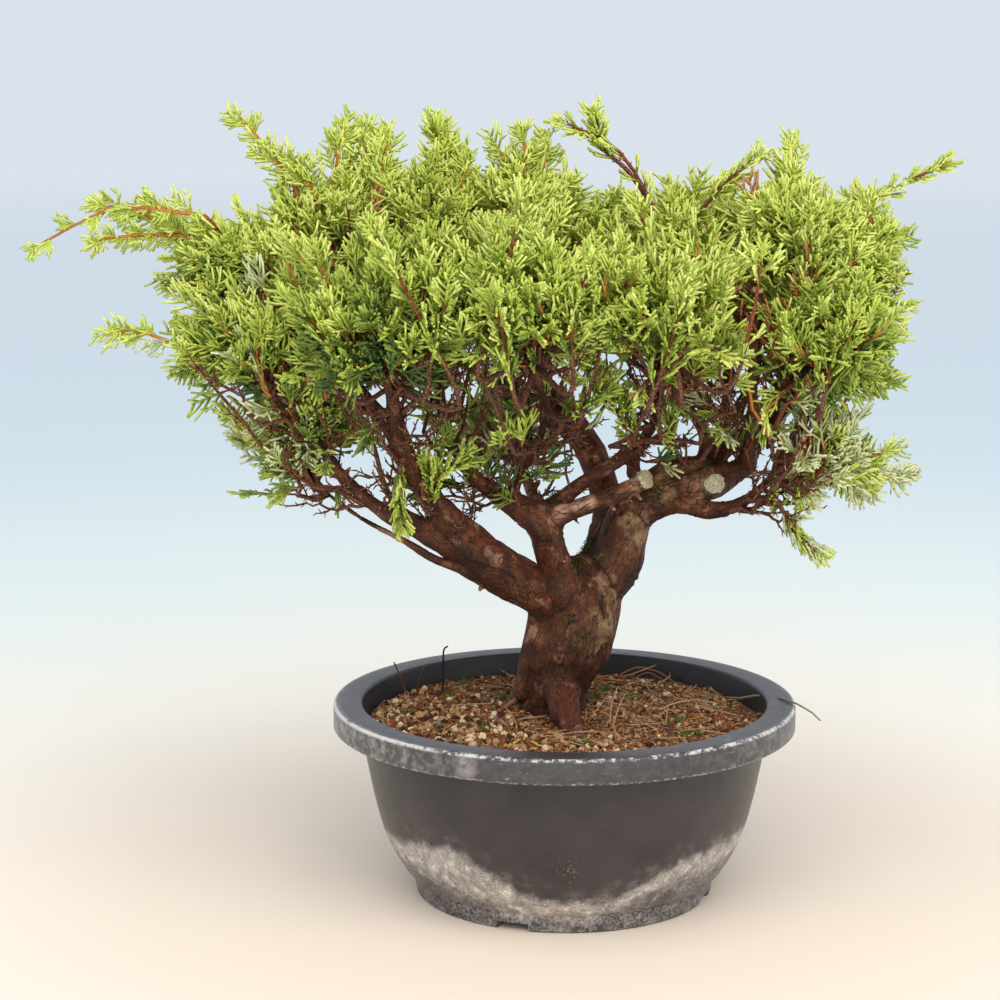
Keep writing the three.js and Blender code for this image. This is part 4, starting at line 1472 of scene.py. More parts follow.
@dataclass
class CutFace:
    """The face of a cut limb: a slightly domed disc with an uneven edge and ridges about its middle."""

    name: str
    cut: Cut
    centre: Place
    facing: Place
    radius: float
    dome: float = 0.5
    rings: int = 9
    sides: int = 40
    back: float = 1.6

    def build(self) -> Piece:
        """Makes the face as a closed cap that sits in the limb's end.

        Returns:
            The face.
        """
        chance = Chance(len(self.name))
        way = unit(np.array(self.facing, float))
        across = unit(np.cross(way, [0.1, 0.2, 0.97]))
        beside = np.cross(way, across)
        turn = turns(self.sides)
        spokes = across * np.cos(turn)[:, None] + beside * np.sin(turn)[:, None]
        edge = self.radius * (1 + 0.16 * chance.soft(spokes * 1.6 + 9))
        rows = []
        for share in np.linspace(0.06, 1, self.rings):
            flat = spokes * (edge * share)[:, None]
            ridge = 0.35 * chance.soft(flat / 1.1) + 0.22 * math.sin(share * 22)
            rows.append(flat + way * (self.dome * (1 - share ** 2) + ridge)[:, None])
        rows.append(spokes * edge[:, None] - way * self.back)
        body = ringed(np.array(rows) + np.array(self.centre))
        finish = CutFinish(self.name, self.centre, *self.cut.value)
        return settled(body.piece(self.name, [finish.material()]), "bark")


CUT_FACES = (
    CutFace("cut_healed", Cut.HEALED, (73, -8.2, 206.8), (-0.1, -1, 0.12), 4.9, 1.1),
    CutFace("cut_stub", Cut.SAWN, (39.6, -18.6, 211.2), (0.75, -0.5, 0.4), 4.5, 0.2, back=4.2),
    CutFace("cut_upright", Cut.FRESH, (90, -34.4, 304.4), (0.05, -0.25, 1), 2.6),
)


# Foliage


@dataclass(frozen=True)
class Mass:
    """A mass of foliage: its bough, its heart, its reach in x, y and z, the tip, the arch and the sprays'
    size of each of its whips, how light its green is, the share of grey sprays, how full it is, the share
    of sprays that its underside keeps, and the bare-footed shoots that show on its face, each by its start,
    its end, its arch and the size of its sprays."""

    name: str
    bough: str
    heart: Place
    reach: Place
    whips: tuple[tuple[float, ...], ...] = ()
    light: float = 0.5
    grey: float = 0.0
    full: float = 1.0
    skirt: float = 0.8
    faces: tuple[tuple[Place, Place, float, float], ...] = ()

    def depth(self, points: Array) -> Array:
        """How far out points are: 0 at the heart and 1 at the reach."""
        return np.linalg.norm((points - np.array(self.heart)) / np.array(self.reach), axis=-1)


MASSES = (
    Mass("mass_far_left", "bough_far_left", (-158, -2, 313), (34, 38, 16),
         ((-265, -10, 325, 0.16, 0.65), (-236, -14, 328, 0.1, 0.65), (-233, 8, 346, 0.08, 0.85),
          (-200, 20, 334, 0.06, 0.9), (-198, -8, 303, 0.02, 0.9)), 0.54, 0.0, 0.6, 0.4),
    Mass("mass_left_low", "bough_left_low", (-146, -28, 276), (40, 42, 24),
         ((-226, -30, 285, 0.15, 0.8), (-190, -26, 290, 0.06, 0.9), (-192, -28, 266, 0.02, 0.9)),
         0.48, 0.06, 0.9, 0.7),
    Mass("mass_left_under", "bough_left_under", (-122, -20, 238), (32, 38, 24),
         ((-148, -28, 224, -0.02, 0.75), (-172, -26, 242, 0.0, 0.75)), 0.36, 0.25, 0.7, 0.6),
    Mass("mass_upper_left", "bough_upper_left", (-106, 22, 326), (33, 44, 30),
         ((-164, 0, 390, 0.14, 0.85), (-136, 0, 368, 0.05, 0.9), (-107, 8, 388, 0.04, 0.9),
          (-94, 12, 386, 0.03, 0.9), (-82, 8, 382, 0.02, 0.9)), 0.57, 0.0, 0.8),
    Mass("mass_front_left", "bough_left", (-80, -78, 288), (46, 42, 42),
         ((-128, -76, 300, 0.1, 0.9),), 0.38, 0.0, 1.0,
         0.5, (((-50, -98, 256), (-86, -112, 334), 0.06, 1.0), ((-78, -58, 226), (-79, -60, 198), 0.0, 0.55),
               ((-66, -44, 208), (-50, -52, 226), 0.0, 0.7), ((-60, -38, 200), (-66, -48, 220), 0.0, 0.6),
               ((-98, -92, 258), (-122, -98, 300), 0.06, 0.9),
               ((-66, -96, 260), (-56, -112, 304), 0.02, 0.85))),
    Mass("mass_front_centre", "bough_centre_front", (-18, -80, 298), (42, 46, 40), (), 0.64, 0.0, 1.0, 0.4,
         (((-42, -104, 270), (-22, -76, 346), -0.06, 1.0), ((0, -96, 262), (8, -116, 322), 0.04, 0.9),
          ((-24, -100, 256), (-34, -122, 304), 0.02, 0.8), ((4, -60, 242), (16, -70, 262), 0.0, 0.7))),
    Mass("mass_front_right", "bough_middle_riser", (43, -74, 290), (42, 46, 40), (), 0.62, 0.0, 1.0, 0.3,
         (((50, -100, 256), (32, -74, 342), 0.06, 1.0), ((70, -92, 262), (84, -104, 322), 0.03, 0.9),
          ((34, -96, 254), (48, -118, 306), 0.02, 0.8), ((30, -26, 236), (18, -44, 260), 0.0, 0.8),
          ((36, -18, 226), (27, -30, 248), 0.0, 0.6))),
    Mass("mass_top_left", "bough_middle", (-62, 22, 330), (42, 52, 30),
         ((-61, 12, 388, 0.0, 0.85), (-44, 0, 368, 0.0, 0.9)), 0.63, 0.0, 0.8),
    Mass("mass_top_centre", "bough_back", (-16, 12, 330), (34, 54, 30),
         ((-21, 0, 384, 0.0, 0.9), (-8, 8, 380, 0.0, 0.9), (-36, 6, 378, 0.0, 0.9)), 0.7, 0.0, 0.85),
    Mass("mass_top_right", "bough_right_riser", (58, 24, 316), (34, 54, 28),
         ((66, 10, 356, 0.0, 0.9), (52, 10, 354, 0.0, 0.9), (88, 56, 354, 0.0, 0.9)), 0.68, 0.0, 0.85, 0.8,
         (((50, 8, 322), (0, 5, 381), 0.15, 0.7), ((30, 6, 358), (14, 5, 383), 0.02, 0.5),
          ((64, 8, 336), (92, 6, 364), 0.04, 0.55))),
    Mass("mass_upper_right", "bough_right", (106, 0, 322), (35, 48, 30),
         ((112, 10, 378, 0.0, 0.9), (128, 0, 342, 0.03, 0.8)), 0.62, 0.0, 0.8, 0.6,
         (((102, -34, 286), (114, -46, 334), 0.03, 1.0), ((58, 0, 216), (50, -8, 240), 0.0, 0.7))),
    Mass("mass_far_right", "bough_far_right", (137, 14, 308), (30, 44, 28),
         ((166, 0, 331, 0.05, 0.8), (150, 0, 350, 0.03, 0.8)), 0.6, 0.0, 0.8, 0.8,
         (((138, 8, 333), (182, 0, 361), 0.1, 0.45),)),
    Mass("mass_right", "bough_right_front", (120, -42, 280), (36, 42, 36),
         ((160, -20, 282, 0.06, 0.9), (158, -30, 254, 0.04, 0.9)), 0.54, 0.03, 0.8, 0.5,
         (((116, -66, 246), (128, -80, 292), 0.03, 0.9),)),
    Mass("mass_right_low", "bough_right_low", (124, -34, 226), (28, 32, 28),
         ((171, -30, 210, 0.04, 0.85), (162, -30, 224, 0.06, 0.8), (150, -30, 200, 0.0, 0.8),
          (108, -34, 196, 0.03, 0.7)),
         0.66, 0.62, 0.12, 0.4,
         (((100, -34, 204), (120, -34, 178), 0.0, 0.65), ((112, -40, 206), (132, -44, 232), 0.03, 0.9))),
    Mass("mass_back_low", "bough_middle_back", (-31, 90, 214), (33, 30, 24), (), 0.4, 0.2, 0.5),
    Mass("mass_back_left", "bough_back_left", (-104, 96, 288), (52, 54, 38),
         ((-150, 108, 318, 0.05, 0.9), (-118, 124, 338, 0.0, 0.9)), 0.42, 0.0, 0.85),
    Mass("mass_back_centre", "bough_back_centre", (-14, 116, 304), (54, 50, 40),
         ((-22, 158, 338, 0.0, 0.9),), 0.47, 0.0, 0.85),
    Mass("mass_back_right", "bough_back_right", (90, 104, 294), (56, 54, 40),
         ((146, 114, 326, 0.05, 0.9), (78, 128, 342, 0.0, 0.9)), 0.47, 0.0, 0.85),
)

# Where the boughs part, from which the whole crown fans out
FORK = (2.0, 8.0, 168.0)

# Round places that stay bare: the forks, the stub, the healed cut and the undersides of the boughs
BARE = (
    (30, -22, 205, 17), (73, -12, 206, 14), (46, -4, 192, 15), (20, 0, 172, 26), (-10, -14, 170, 22),
    (-34, -20, 160, 26), (-66, -30, 160, 26), (0, 10, 140, 42), (-110, -24, 176, 26), (78, -2, 180, 20),
    (-2, -30, 190, 14), (-142, -24, 182, 23), (10, 10, 216, 12), (-4, 4, 216, 12),
    (-4, 60, 220, 14), (-156, 6, 352, 14),
    (88, -52, 300, 15), (85, -76, 302, 15), (83, -98, 304, 12), (87, -52, 284, 10))


class Look(Enum):
    """Looks that are told apart by their place in a list."""

    @property
    def number(self) -> int:
        """Its place in the order."""
        return list(type(self)).index(self)


class Green(Look):
    """The colours that sprays are dealt, in the order of their numbers."""

    TIP = tone(0xD9E378)
    FRESH = tone(0xC3D15C)
    MIDDLE = tone(0xA6B848)
    DEEP = tone(0x7E923A)
    SHADE = tone(0x546F38)
    GREY = tone(0xB9C184)
    PALE = tone(0xD6DBA6)
    DEAD = tone(0xBC8450)
    STALK = tone(0xC9B856)


class Stem(Look):
    """The colours of stems, in the order of their numbers."""

    BROWN = (tone(0x865743), tone(0x40241A))
    RED = (tone(0x9A5230), tone(0x60301C))
    ORANGE = (tone(0xCF8746), tone(0x98582A))
    HUSK = (tone(0xBE9C7C), tone(0x6E4C36))


@dataclass
class Crown:
    """All the masses, grown by one rule: a stem, shoots from it by the golden angle out to the mass's reach,
    then side twigs, sprays and fingers. Bare risers with husks of old scale leaves fill the space below."""

    shoots: int = 16
    spread: float = 1.3
    upward: float = 0.35
    bridges: int = 2
    bridge_reach: float = 116.0
    bridge_rise: Span = (-4.0, 26.0)
    stem_points: int = 9
    stem_lead: float = 0.3
    stem_tip: float = 1.5
    shoot_points: int = 9
    shoot_arch: Span = (-0.13, 0.06)
    shoot_radii: Span = (1.35, 0.65)
    shares: Span = (0.7, 1.02)
    tip_room: float = 13.0
    least_reach: float = 0.3
    reach_step: float = 0.07
    whip_wander: float = 0.012
    shoot_wander: float = 0.035
    most: Place = (195.0, 178.0, 394.0)
    least: Place = (-269.0, -139.0, 165.0)
    whip_room: float = 12.0
    face_radii: Span = (1.4, 0.6)
    face_points: int = 13
    face_wander: float = 2.6
    risers: int = 8
    under_step: float = 7.0
    under_length: Span = (14.0, 44.0)
    under_radii: Span = (0.95, 0.45)
    under_arch: Span = (-0.15, 0.05)
    riser_arch: Span = (-0.22, 0.06)
    under_green: float = 0.13
    twiglet_green: float = 0.35
    whip_twig_size: float = 0.6
    # Painted light and shade: these lift a spray's green with its height and its distance out of the mass;
    # patches and chance vary it at random.
    light_high: float = 0.18
    light_out: float = 0.5
    light_middle: float = 0.78
    light_patch: float = 0.26
    light_chance: float = 0.11
    light_steps: float = 4.2
    bright_tip: float = 0.6
    riser_radii: Span = (1.45, 0.6)
    dead_share: float = 0.003
    twigs: Growth = Growth(3, 0.38, 0.9, 27, 0.66, 0.6, 0.7, 0.5, 5, 0.45, flat=False, lift=0.14)
    whip_twigs: Growth = Growth(3, 0.25, 0.7, 14, 0.6, 0.6, 0.6, 0.45, 4, 0.4, lift=0.05)
    whip_sprays: Growth = Growth(11, 0.16, 0.96, 17, 0.56, 0.5, 0.8, 0.6, 4, 0.4, lift=0.03, vary=0.35)
    face_sprays: Growth = Growth(
        12, 0.5, 0.97, 17, 0.62, 0.5, 0.85, 0.64, 4, 0.3, flat=False, lift=0.08, vary=0.4)
    leaders: Growth = Growth(1, 1.0, 1.0, 14, 0.14, 0.0, 0.85, 0.6, 4, 0.0)
    shoot_sprays: Growth = Growth(5, 0.36, 0.95, 17, 0.62, 0.55, 0.85, 0.64, 4, 0.25, flat=False, lift=0.12)
    twig_sprays: Growth = Growth(2, 0.4, 0.85, 15, 0.6, 0.55, 0.85, 0.64, 4, 0.2, flat=False, lift=0.12)
    fingers: Growth = Growth(7, 0.12, 0.92, 12.5, 0.72, 0.5, 0.82, 0.62, 3, 0.5, vary=0.35)
    lobes: Growth = Growth(2, 0.36, 0.68, 5.2, 0.66, 0.4, 0.72, 0.56, 2, 0.15, vary=0.35)
    lobed: int = 2
    least_fan: float = 0.72
    fan_length: float = 15.0
    patch_size: float = 26.0
    twiglets: Growth = Growth(5, 0.15, 0.96, 15, 0.8, 0.4, 0.6, 0.35, 4, 0.2, flat=False, lift=0.25)
    husks: Growth = Growth(5, 0.08, 0.97, 2.7, 0.75, 0.0, 0.45, 0.22, 2, 0.0, flat=False)
    riser_husks: Growth = Growth(20, 0.08, 0.98, 3.0, 0.8, 0.0, 0.5, 0.24, 2, 0.0, flat=False)
    seed: int = 909

    @cached_property
    def chance(self) -> Chance:
        """Its noise."""
        return Chance(self.seed)

    def in_room(self, mass: Mass, points: Array, reach: float = 9.0) -> Array:
        """Whether points are in the mass's own space, which ends where another mass is as near.

        Args:
            mass: The mass.
            points: The points.
            reach: How far out its space goes, as a share of its reach.

        Returns:
            Whether each point is in it.
        """
        own = mass.depth(points)
        free = own < reach
        for other in MASSES:
            if other is not mass:
                free &= other.depth(points) > own
        return free

    def clear(self, strands: Strands) -> Strands:
        """The strands that pass none of the places that stay bare.

        Args:
            strands: The strands.

        Returns:
            Those that are clear.
        """
        wanted = np.ones(len(strands), bool)
        for *place, radius in BARE:
            wanted &= distances(strands.points[:, 1:], place).min(1) > radius
        return strands.kept(wanted)

    def in_box(self, points: Array) -> Array:
        """Whether points are within the crown's farthest limits."""
        return np.all((points < np.array(self.most)) & (points > np.array(self.least)), axis=-1)

    def ways_out(self, axis: Array, rng: Rng) -> Array:
        """Ways out of a mass, turned by the golden angle about its growing direction.

        Args:
            axis: The growing direction.
            rng: The source of chance.

        Returns:
            The ways, each of length 1.
        """
        number = np.arange(self.shoots)
        rise = 1 - self.spread * (number + 0.5) / self.shoots
        wide = np.sqrt(1 - rise * rise)
        angle = rng.uniform(0, 2 * np.pi) + GOLDEN_ANGLE * number
        first = unit(np.cross(axis, [0.3, 0.9, 0.1]))
        second = np.cross(axis, first)
        return (first * (wide * np.cos(angle))[:, None] + second * (wide * np.sin(angle))[:, None]
                + axis * rise[:, None])

    def stem(self, mass: Mass) -> Strands:
        """The stem from the bough's tip to the mass's heart.

        Args:
            mass: The mass.

        Returns:
            The stem, as the one strand.
        """
        points, radii = limb_named(mass.bough).sampled(40)
        way = unit(points[-1] - points[-2])
        heart = np.array(mass.heart, float)
        lead = points[-1] + way * self.stem_lead * np.linalg.norm(heart - points[-1])
        line = curve((points[-1] - way * 2, lead, heart), self.stem_points)
        fall = np.linspace(radii[-1], self.stem_tip, self.stem_points)
        return Strands(line[None], fall[None], unit(np.cross(way, [0.2, 0.9, 0.3]))[None])

    def reachable(self, mass: Mass, target: Array) -> Array | None:
        """The farthest point from the heart towards a target that is in the mass's space.

        Args:
            mass: The mass.
            target: Where the way leads.

        Returns:
            The point, or nothing.
        """
        heart = np.array(mass.heart, float)
        for share in np.arange(1.0, self.least_reach, -self.reach_step):
            point = heart + (target - heart) * share
            if self.in_room(mass, point[None])[0]:
                return point
        return None

    def arched(self, starts: Array, ends: Array, arch: Array, radii: Span,
               rng: Rng, wander: float) -> Strands:
        """Strands between pairs of points, bent up or down and a little unsteady.

        Args:
            starts: Where they start.
            ends: Where they end.
            arch: How far each is lifted in its middle, as a share of its length.
            radii: Their radius at the start and at the end.
            rng: The source of chance.
            wander: How unsteady they are, as a share of their length.

        Returns:
            The strands.
        """
        count = len(ends)
        gap = np.linalg.norm(ends - starts, axis=1, keepdims=True)
        lift = gap * (UP * arch[:, None] + rng.normal(0, 0.05, (count, 3)))
        run = np.linspace(0, 1, self.shoot_points)[None, :, None]
        points = starts[:, None] * (1 - run) + ends[:, None] * run + lift[:, None] * 4 * run * (1 - run)
        jolt = rng.normal(0, wander, (count, self.shoot_points, 3)) * gap[:, None] * np.sin(np.pi * run)
        fall = np.linspace(*radii, self.shoot_points)
        side = unit(np.cross(ends - starts, rng.normal(size=(count, 3))))
        return Strands(points + jolt, np.tile(fall, (count, 1)), side)

    def main_shoots(self, mass: Mass, stem: Strands, rng: Rng) -> tuple[Strands, Strands]:
        """The strands that carry the mass, with shoots that bridge the way to the next masses.

        Args:
            mass: The mass.
            stem: Its stem.
            rng: The source of chance.

        Returns:
            The whips and the shoots.
        """
        heart = np.array(mass.heart, float)
        fan = unit(heart - np.array(FORK))
        axis = unit(fan + UP * self.upward)
        ways = self.ways_out(axis, rng) * np.array(mass.reach)
        out = ways * rng.uniform(*self.shares, (self.shoots, 1)) - unit(ways) * self.tip_room
        targets = [self.reachable(mass, heart + way) for way in out]
        targets = [target for target in targets if target is not None]
        for other in MASSES:
            apart = np.array(other.heart) - heart
            if other is not mass and np.linalg.norm(apart) < self.bridge_reach:
                for _ in range(self.bridges):
                    rise = axis * rng.uniform(*self.bridge_rise)
                    targets.append(heart + apart * rng.uniform(0.35, 0.55) + rise + rng.normal(0, 5, 3))
        targets = np.array(targets)
        whips = np.array(mass.whips, float).reshape(-1, 5)
        tips = whips[:, :3] - unit(whips[:, :3] - heart) * self.whip_room
        made = []
        arches = rng.uniform(*self.shoot_arch, len(targets))
        for ends, arch, low, wander in ((tips, whips[:, 3], 0.3, self.whip_wander),
                                        (targets, arches, 0.0, self.shoot_wander)):
            starts, _ = stem.at(np.linspace(low, 0.95, len(ends))[None])
            starts = starts[0][rng.permutation(len(ends))]
            made.append(self.arched(starts, ends, arch, self.shoot_radii, rng, wander))
        return self.spread_flat(made[0]), made[1]

    @staticmethod
    def spread_flat(strands: Strands) -> Strands:
        """The strands with their sprays turned to the two sides that the front view shows."""
        strands.side = unit(np.cross(strands.points[:, -1] - strands.points[:, 0], [0.0, 1.0, 0.12]))
        return strands

    def face_shoots(self, mass: Mass, stem: Strands, rng: Rng) -> Strands:
        """The shoots that show on the mass's face, each from the nearest place of its bough or stem.

        Args:
            mass: The mass.
            stem: Its stem.
            rng: The source of chance.

        Returns:
            The shoots.
        """
        carriers = np.concatenate([limb_named(mass.bough).sampled(40)[0][20:], stem.points[0]])
        lines = np.zeros((len(mass.faces), self.face_points, 3))
        for number, (start, end, arch, _) in enumerate(mass.faces):
            start, end = np.array(start, float), np.array(end, float)
            foot = carriers[np.linalg.norm(carriers - start + UP * 12, axis=1).argmin()]
            middle = (start + end) / 2 + UP * arch * np.linalg.norm(end - start)
            middle = middle + rng.normal(0, self.face_wander, 3)
            lines[number] = curve((foot, start, middle, end), self.face_points)
        radii = np.tile(np.linspace(*self.face_radii, self.face_points), (len(lines), 1))
        return self.spread_flat(Strands(lines, radii, np.zeros((len(lines), 3))))

    def riser_strands(self, mass: Mass, stem: Strands, rng: Rng) -> Strands:
        """Bare stems from the bough and the stem into the mass's lower half.

        Args:
            mass: The mass.
            stem: Its stem.
            rng: The source of chance.

        Returns:
            The stems.
        """
        points, _ = limb_named(mass.bough).sampled(60)
        low = np.concatenate([points[22:58:5], stem.at(np.array([[0.1, 0.4, 0.7]]))[0][0]])
        starts = low[rng.integers(len(low), size=self.risers)]
        ball = unit(rng.normal(size=(self.risers, 3))) * np.array([0.95, 0.95, 0.4]) + [0, 0, -0.35]
        ends = np.array(mass.heart) + ball * np.array(mass.reach) * 0.85
        arch = rng.uniform(*self.riser_arch, self.risers)
        return self.arched(starts, ends, arch, self.riser_radii, rng, self.shoot_wander)

    def undergrowth(self, rng: Rng) -> Strands:
        """Bare twigs along the outer half of every bough, which turn up towards the light.

        Args:
            rng: The source of chance.

        Returns:
            The twigs.
        """
        starts, ways = [], []
        for bough in BOUGHS:
            points, radii = bough.sampled(80)
            first = 30 if bough.length() > 90 else 12
            count = max(2, round(bough.length() * 0.6 / self.under_step))
            for at in np.linspace(first, 78, count).astype(int):
                tangent = unit(points[at] - points[at - 1])
                out = unit(np.cross(tangent, rng.normal(size=3)))
                starts.append(points[at] + out * radii[at] * 0.6)
                ways.append(unit(out + tangent * 0.5 + UP * 0.55))
        starts, ways = np.array(starts), np.array(ways)
        length = rng.uniform(*self.under_length, (len(starts), 1))
        arch = rng.uniform(*self.under_arch, len(starts))
        return self.arched(starts, starts + ways * length, arch, self.under_radii, rng, self.shoot_wander)

    def deal(self, mass: Mass, tips: Array, rng: Rng) -> tuple[Array, Array]:
        """Deals each spray a colour for its body and one for its tips, with painted light and shade: lighter
        greens high and far out, darker greens within and low.

        Args:
            mass: The mass.
            tips: Where the sprays end.
            rng: The source of chance.

        Returns:
            The numbers of the body's colour and of the tips' colour, for each spray.
        """
        high = (tips[:, 2] - mass.heart[2]) / mass.reach[2]
        out = mass.depth(tips)
        patch = self.chance.soft(tips / self.patch_size)
        # Painted light and shade: high and outer sprays get lighter greens and inner and low sprays darker
        # ones, on top of the mass's own lightness.
        level = (mass.light + self.light_high * high + self.light_out * (out - self.light_middle)
                 + self.light_patch * patch + rng.normal(0, self.light_chance, len(tips)))
        ladder = [Green.SHADE, Green.DEEP, Green.MIDDLE, Green.FRESH, Green.TIP]
        numbers = np.array([green.number for green in ladder])
        steps = np.clip((level * self.light_steps).astype(int), 0, len(ladder) - 2)
        body = numbers[steps]
        tip = numbers[np.minimum(steps + (rng.random(len(tips)) < self.bright_tip), len(ladder) - 1)]
        grey = rng.random(len(tips)) < mass.grey
        body = np.where(grey, Green.GREY.number, body)
        tip = np.where(grey, Green.PALE.number, tip)
        dead = rng.random(len(tips)) < self.dead_share
        return np.where(dead, Green.DEAD.number, body), np.where(dead, Green.DEAD.number, tip)

    def kept(self, mass: Mass, sprays: Strands, rng: Rng) -> Strands:
        """The sprays that the mass keeps: fewer where it is open and on its underside.

        Args:
            mass: The mass.
            sprays: Its sprays.
            rng: The source of chance.

        Returns:
            Those that are kept.
        """
        tips = sprays.tips()
        low = smoothstep(-0.1, -0.6, (tips[:, 2] - mass.heart[2]) / mass.reach[2])
        share = mass.full * (1 - low * (1 - mass.skirt))
        return sprays.kept((rng.random(len(sprays)) < share) & self.in_box(tips))

    def add_husky(self, parts: MeshParts, carriers: Strands, husks: Growth, rng: Rng) -> Strands:
        """Adds bare stems, their twiglets and the husks on both.

        Args:
            parts: The mesh that they are added to.
            carriers: The bare stems.
            husks: How husks leave the stems.
            rng: The source of chance.

        Returns:
            The twiglets.
        """
        brown, red, _, husk = (stem.number for stem in Stem)
        carriers = self.clear(carriers)
        twiglets = self.clear(self.twiglets.grow(carriers, rng))
        parts.add_strands(carriers, 5, brown)
        parts.add_strands(twiglets, 3, np.where(rng.random(len(twiglets)) < 0.4, red, brown))
        for stems, growth in ((carriers, husks), (twiglets, self.husks)):
            scales = growth.grow(stems, rng)
            parts.add_strands(scales, 3, rng.choice([brown, brown, red, husk], len(scales)))
        return twiglets

    def add_sprays(self, parts: MeshParts, mass: Mass, sprays: Strands, rng: Rng) -> None:
        """Adds sprays with their fingers, each dealt its colours.

        Args:
            parts: The mesh that they are added to.
            mass: The mass.
            sprays: Its sprays.
            rng: The source of chance.
        """
        sprays = self.clear(sprays)
        body, tip = self.deal(mass, sprays.tips(), rng)
        sizes = np.maximum(sprays.lengths() / self.fan_length, self.least_fan)
        fingers = self.fingers.grow(sprays, rng, sizes)
        per = self.fingers.count
        looks, ends = np.repeat(body, per), np.repeat(tip, per)
        forked = np.tile(np.arange(per) < self.lobed, len(sprays))
        lobes = self.lobes.grow(fingers.kept(forked), rng, np.repeat(sizes, self.lobed))
        stalk = np.where(body == Green.DEAD.number, body, Green.STALK.number)
        parts.add_strands(sprays, 3, stalk, body, sprays.points.shape[1] - 2)
        parts.add_strands(fingers, 3, looks, ends)
        parts.add_strands(lobes, 3, np.repeat(ends[forked], self.lobes.count))

    def build_mass(self, mass: Mass, number: int, greens: Sequence[Finish],
                   stems: Sequence[Finish]) -> None:
        """Grows one mass as a piece of foliage and a piece of twigs.

        Args:
            mass: The mass.
            number: Its place in the order, for its seed.
            greens: The greens' materials.
            stems: The stems' materials.
        """
        rng = np.random.default_rng(self.seed + number)
        brown, red, orange, _ = (stem.number for stem in Stem)
        stem = self.stem(mass)
        whips, shoots = self.main_shoots(mass, stem, rng)
        twigs = self.twigs.grow(shoots, rng, np.clip(shoots.lengths() / 50, 0.5, 1.2))
        twigs = twigs.kept(self.in_room(mass, twigs.tips(), 1.35) & self.in_box(twigs.tips()))
        whip_sizes = np.array([size for *_, size in mass.whips])
        whip_twigs = self.whip_twigs.grow(whips, rng, whip_sizes ** 2)
        faces = self.face_shoots(mass, stem, rng)
        face_sizes = np.array([size for *_, size in mass.faces])
        wood = MeshParts()
        wood.add_strands(faces, 6, brown, red, 5)
        wood.add_strands(self.riser_husks.grow(faces, rng), 3, brown)
        wood.add_strands(stem, 8, brown)
        wood.add_strands(shoots, 5, brown, np.where(rng.random(len(shoots)) < 0.6, red, orange), 4)
        wood.add_strands(whips, 5, red, orange, 5)
        wood.add_strands(twigs, 4, red, orange, 2)
        wood.add_strands(whip_twigs, 4, orange)
        twiglets = self.add_husky(wood, self.riser_strands(mass, stem, rng), self.riser_husks, rng)
        leaves = MeshParts()
        for growth, carriers, size in ((self.whip_sprays, whips, whip_sizes),
                                       (self.twig_sprays, whip_twigs, self.whip_twig_size),
                                       (self.face_sprays, faces, face_sizes)):
            for kind in (growth, self.leaders):
                sprays = kind.grow(carriers, rng, size)
                self.add_sprays(leaves, mass, sprays.kept(self.in_box(sprays.tips())), rng)
        green_twiglets = twiglets.kept(rng.random(len(twiglets)) < self.twiglet_green)
        for growth, carriers in ((self.shoot_sprays, shoots), (self.leaders, shoots),
                                 (self.twig_sprays, twigs), (self.leaders, twigs),
                                 (self.twig_sprays, green_twiglets)):
            self.add_sprays(leaves, mass, self.kept(mass, growth.grow(carriers, rng), rng), rng)
        settled(wood.piece(mass.name.replace("mass", "twigs"), stems), "bark")
        settled(leaves.piece(mass.name.replace("mass", "foliage"), greens), "foliage", mass.name)

    def build_undergrowth(self, greens: Sequence[Finish], stems: Sequence[Finish]) -> None:
        """Grows the twigs along the boughs, some with a green spray.

        Args:
            greens: The greens' materials.
            stems: The stems' materials.
        """
        rng = np.random.default_rng(self.seed - 1)
        wood, leaves = MeshParts(), MeshParts()
        carriers = self.undergrowth(rng)
        twiglets = self.add_husky(wood, carriers, self.husks, rng)
        green = twiglets.kept(rng.random(len(twiglets)) < self.under_green)
        sprays = self.twig_sprays.grow(green, rng, 0.85)
        shade = Mass("undergrowth", "", FORK, (150, 150, 150), (), 0.32, 0.15)
        self.add_sprays(leaves, shade, sprays.kept(self.in_box(sprays.tips())), rng)
        settled(wood.piece("twigs_undergrowth", stems), "bark")
        settled(leaves.piece("foliage_undergrowth", greens), "foliage")

    def build(self) -> None:
        """Grows every mass."""
        greens = [LeafFinish("leaf_" + green.name.lower(), green.value).material() for green in Green]
        stems = [TwigFinish("stem_" + stem.name.lower(), *stem.value).material() for stem in Stem]
        for number, mass in enumerate(MASSES):
            self.build_mass(mass, number, greens, stems)
        self.build_undergrowth(greens, stems)


# The pot and its soil


def turned(profile: Sequence[Span], sides: int) -> MeshParts:
    """A closed body of revolution about the pot's axis.

    Args:
        profile: Radius and height from the axis round to the axis again, counterclockwise in section.
        sides: How many steps there are round the axis.

    Returns:
        Its corners and faces.
    """
    rings = [level_ring(radius, height, sides) for radius, height in profile if radius > 0]
    return ringed(np.array(rings), flipped=True)


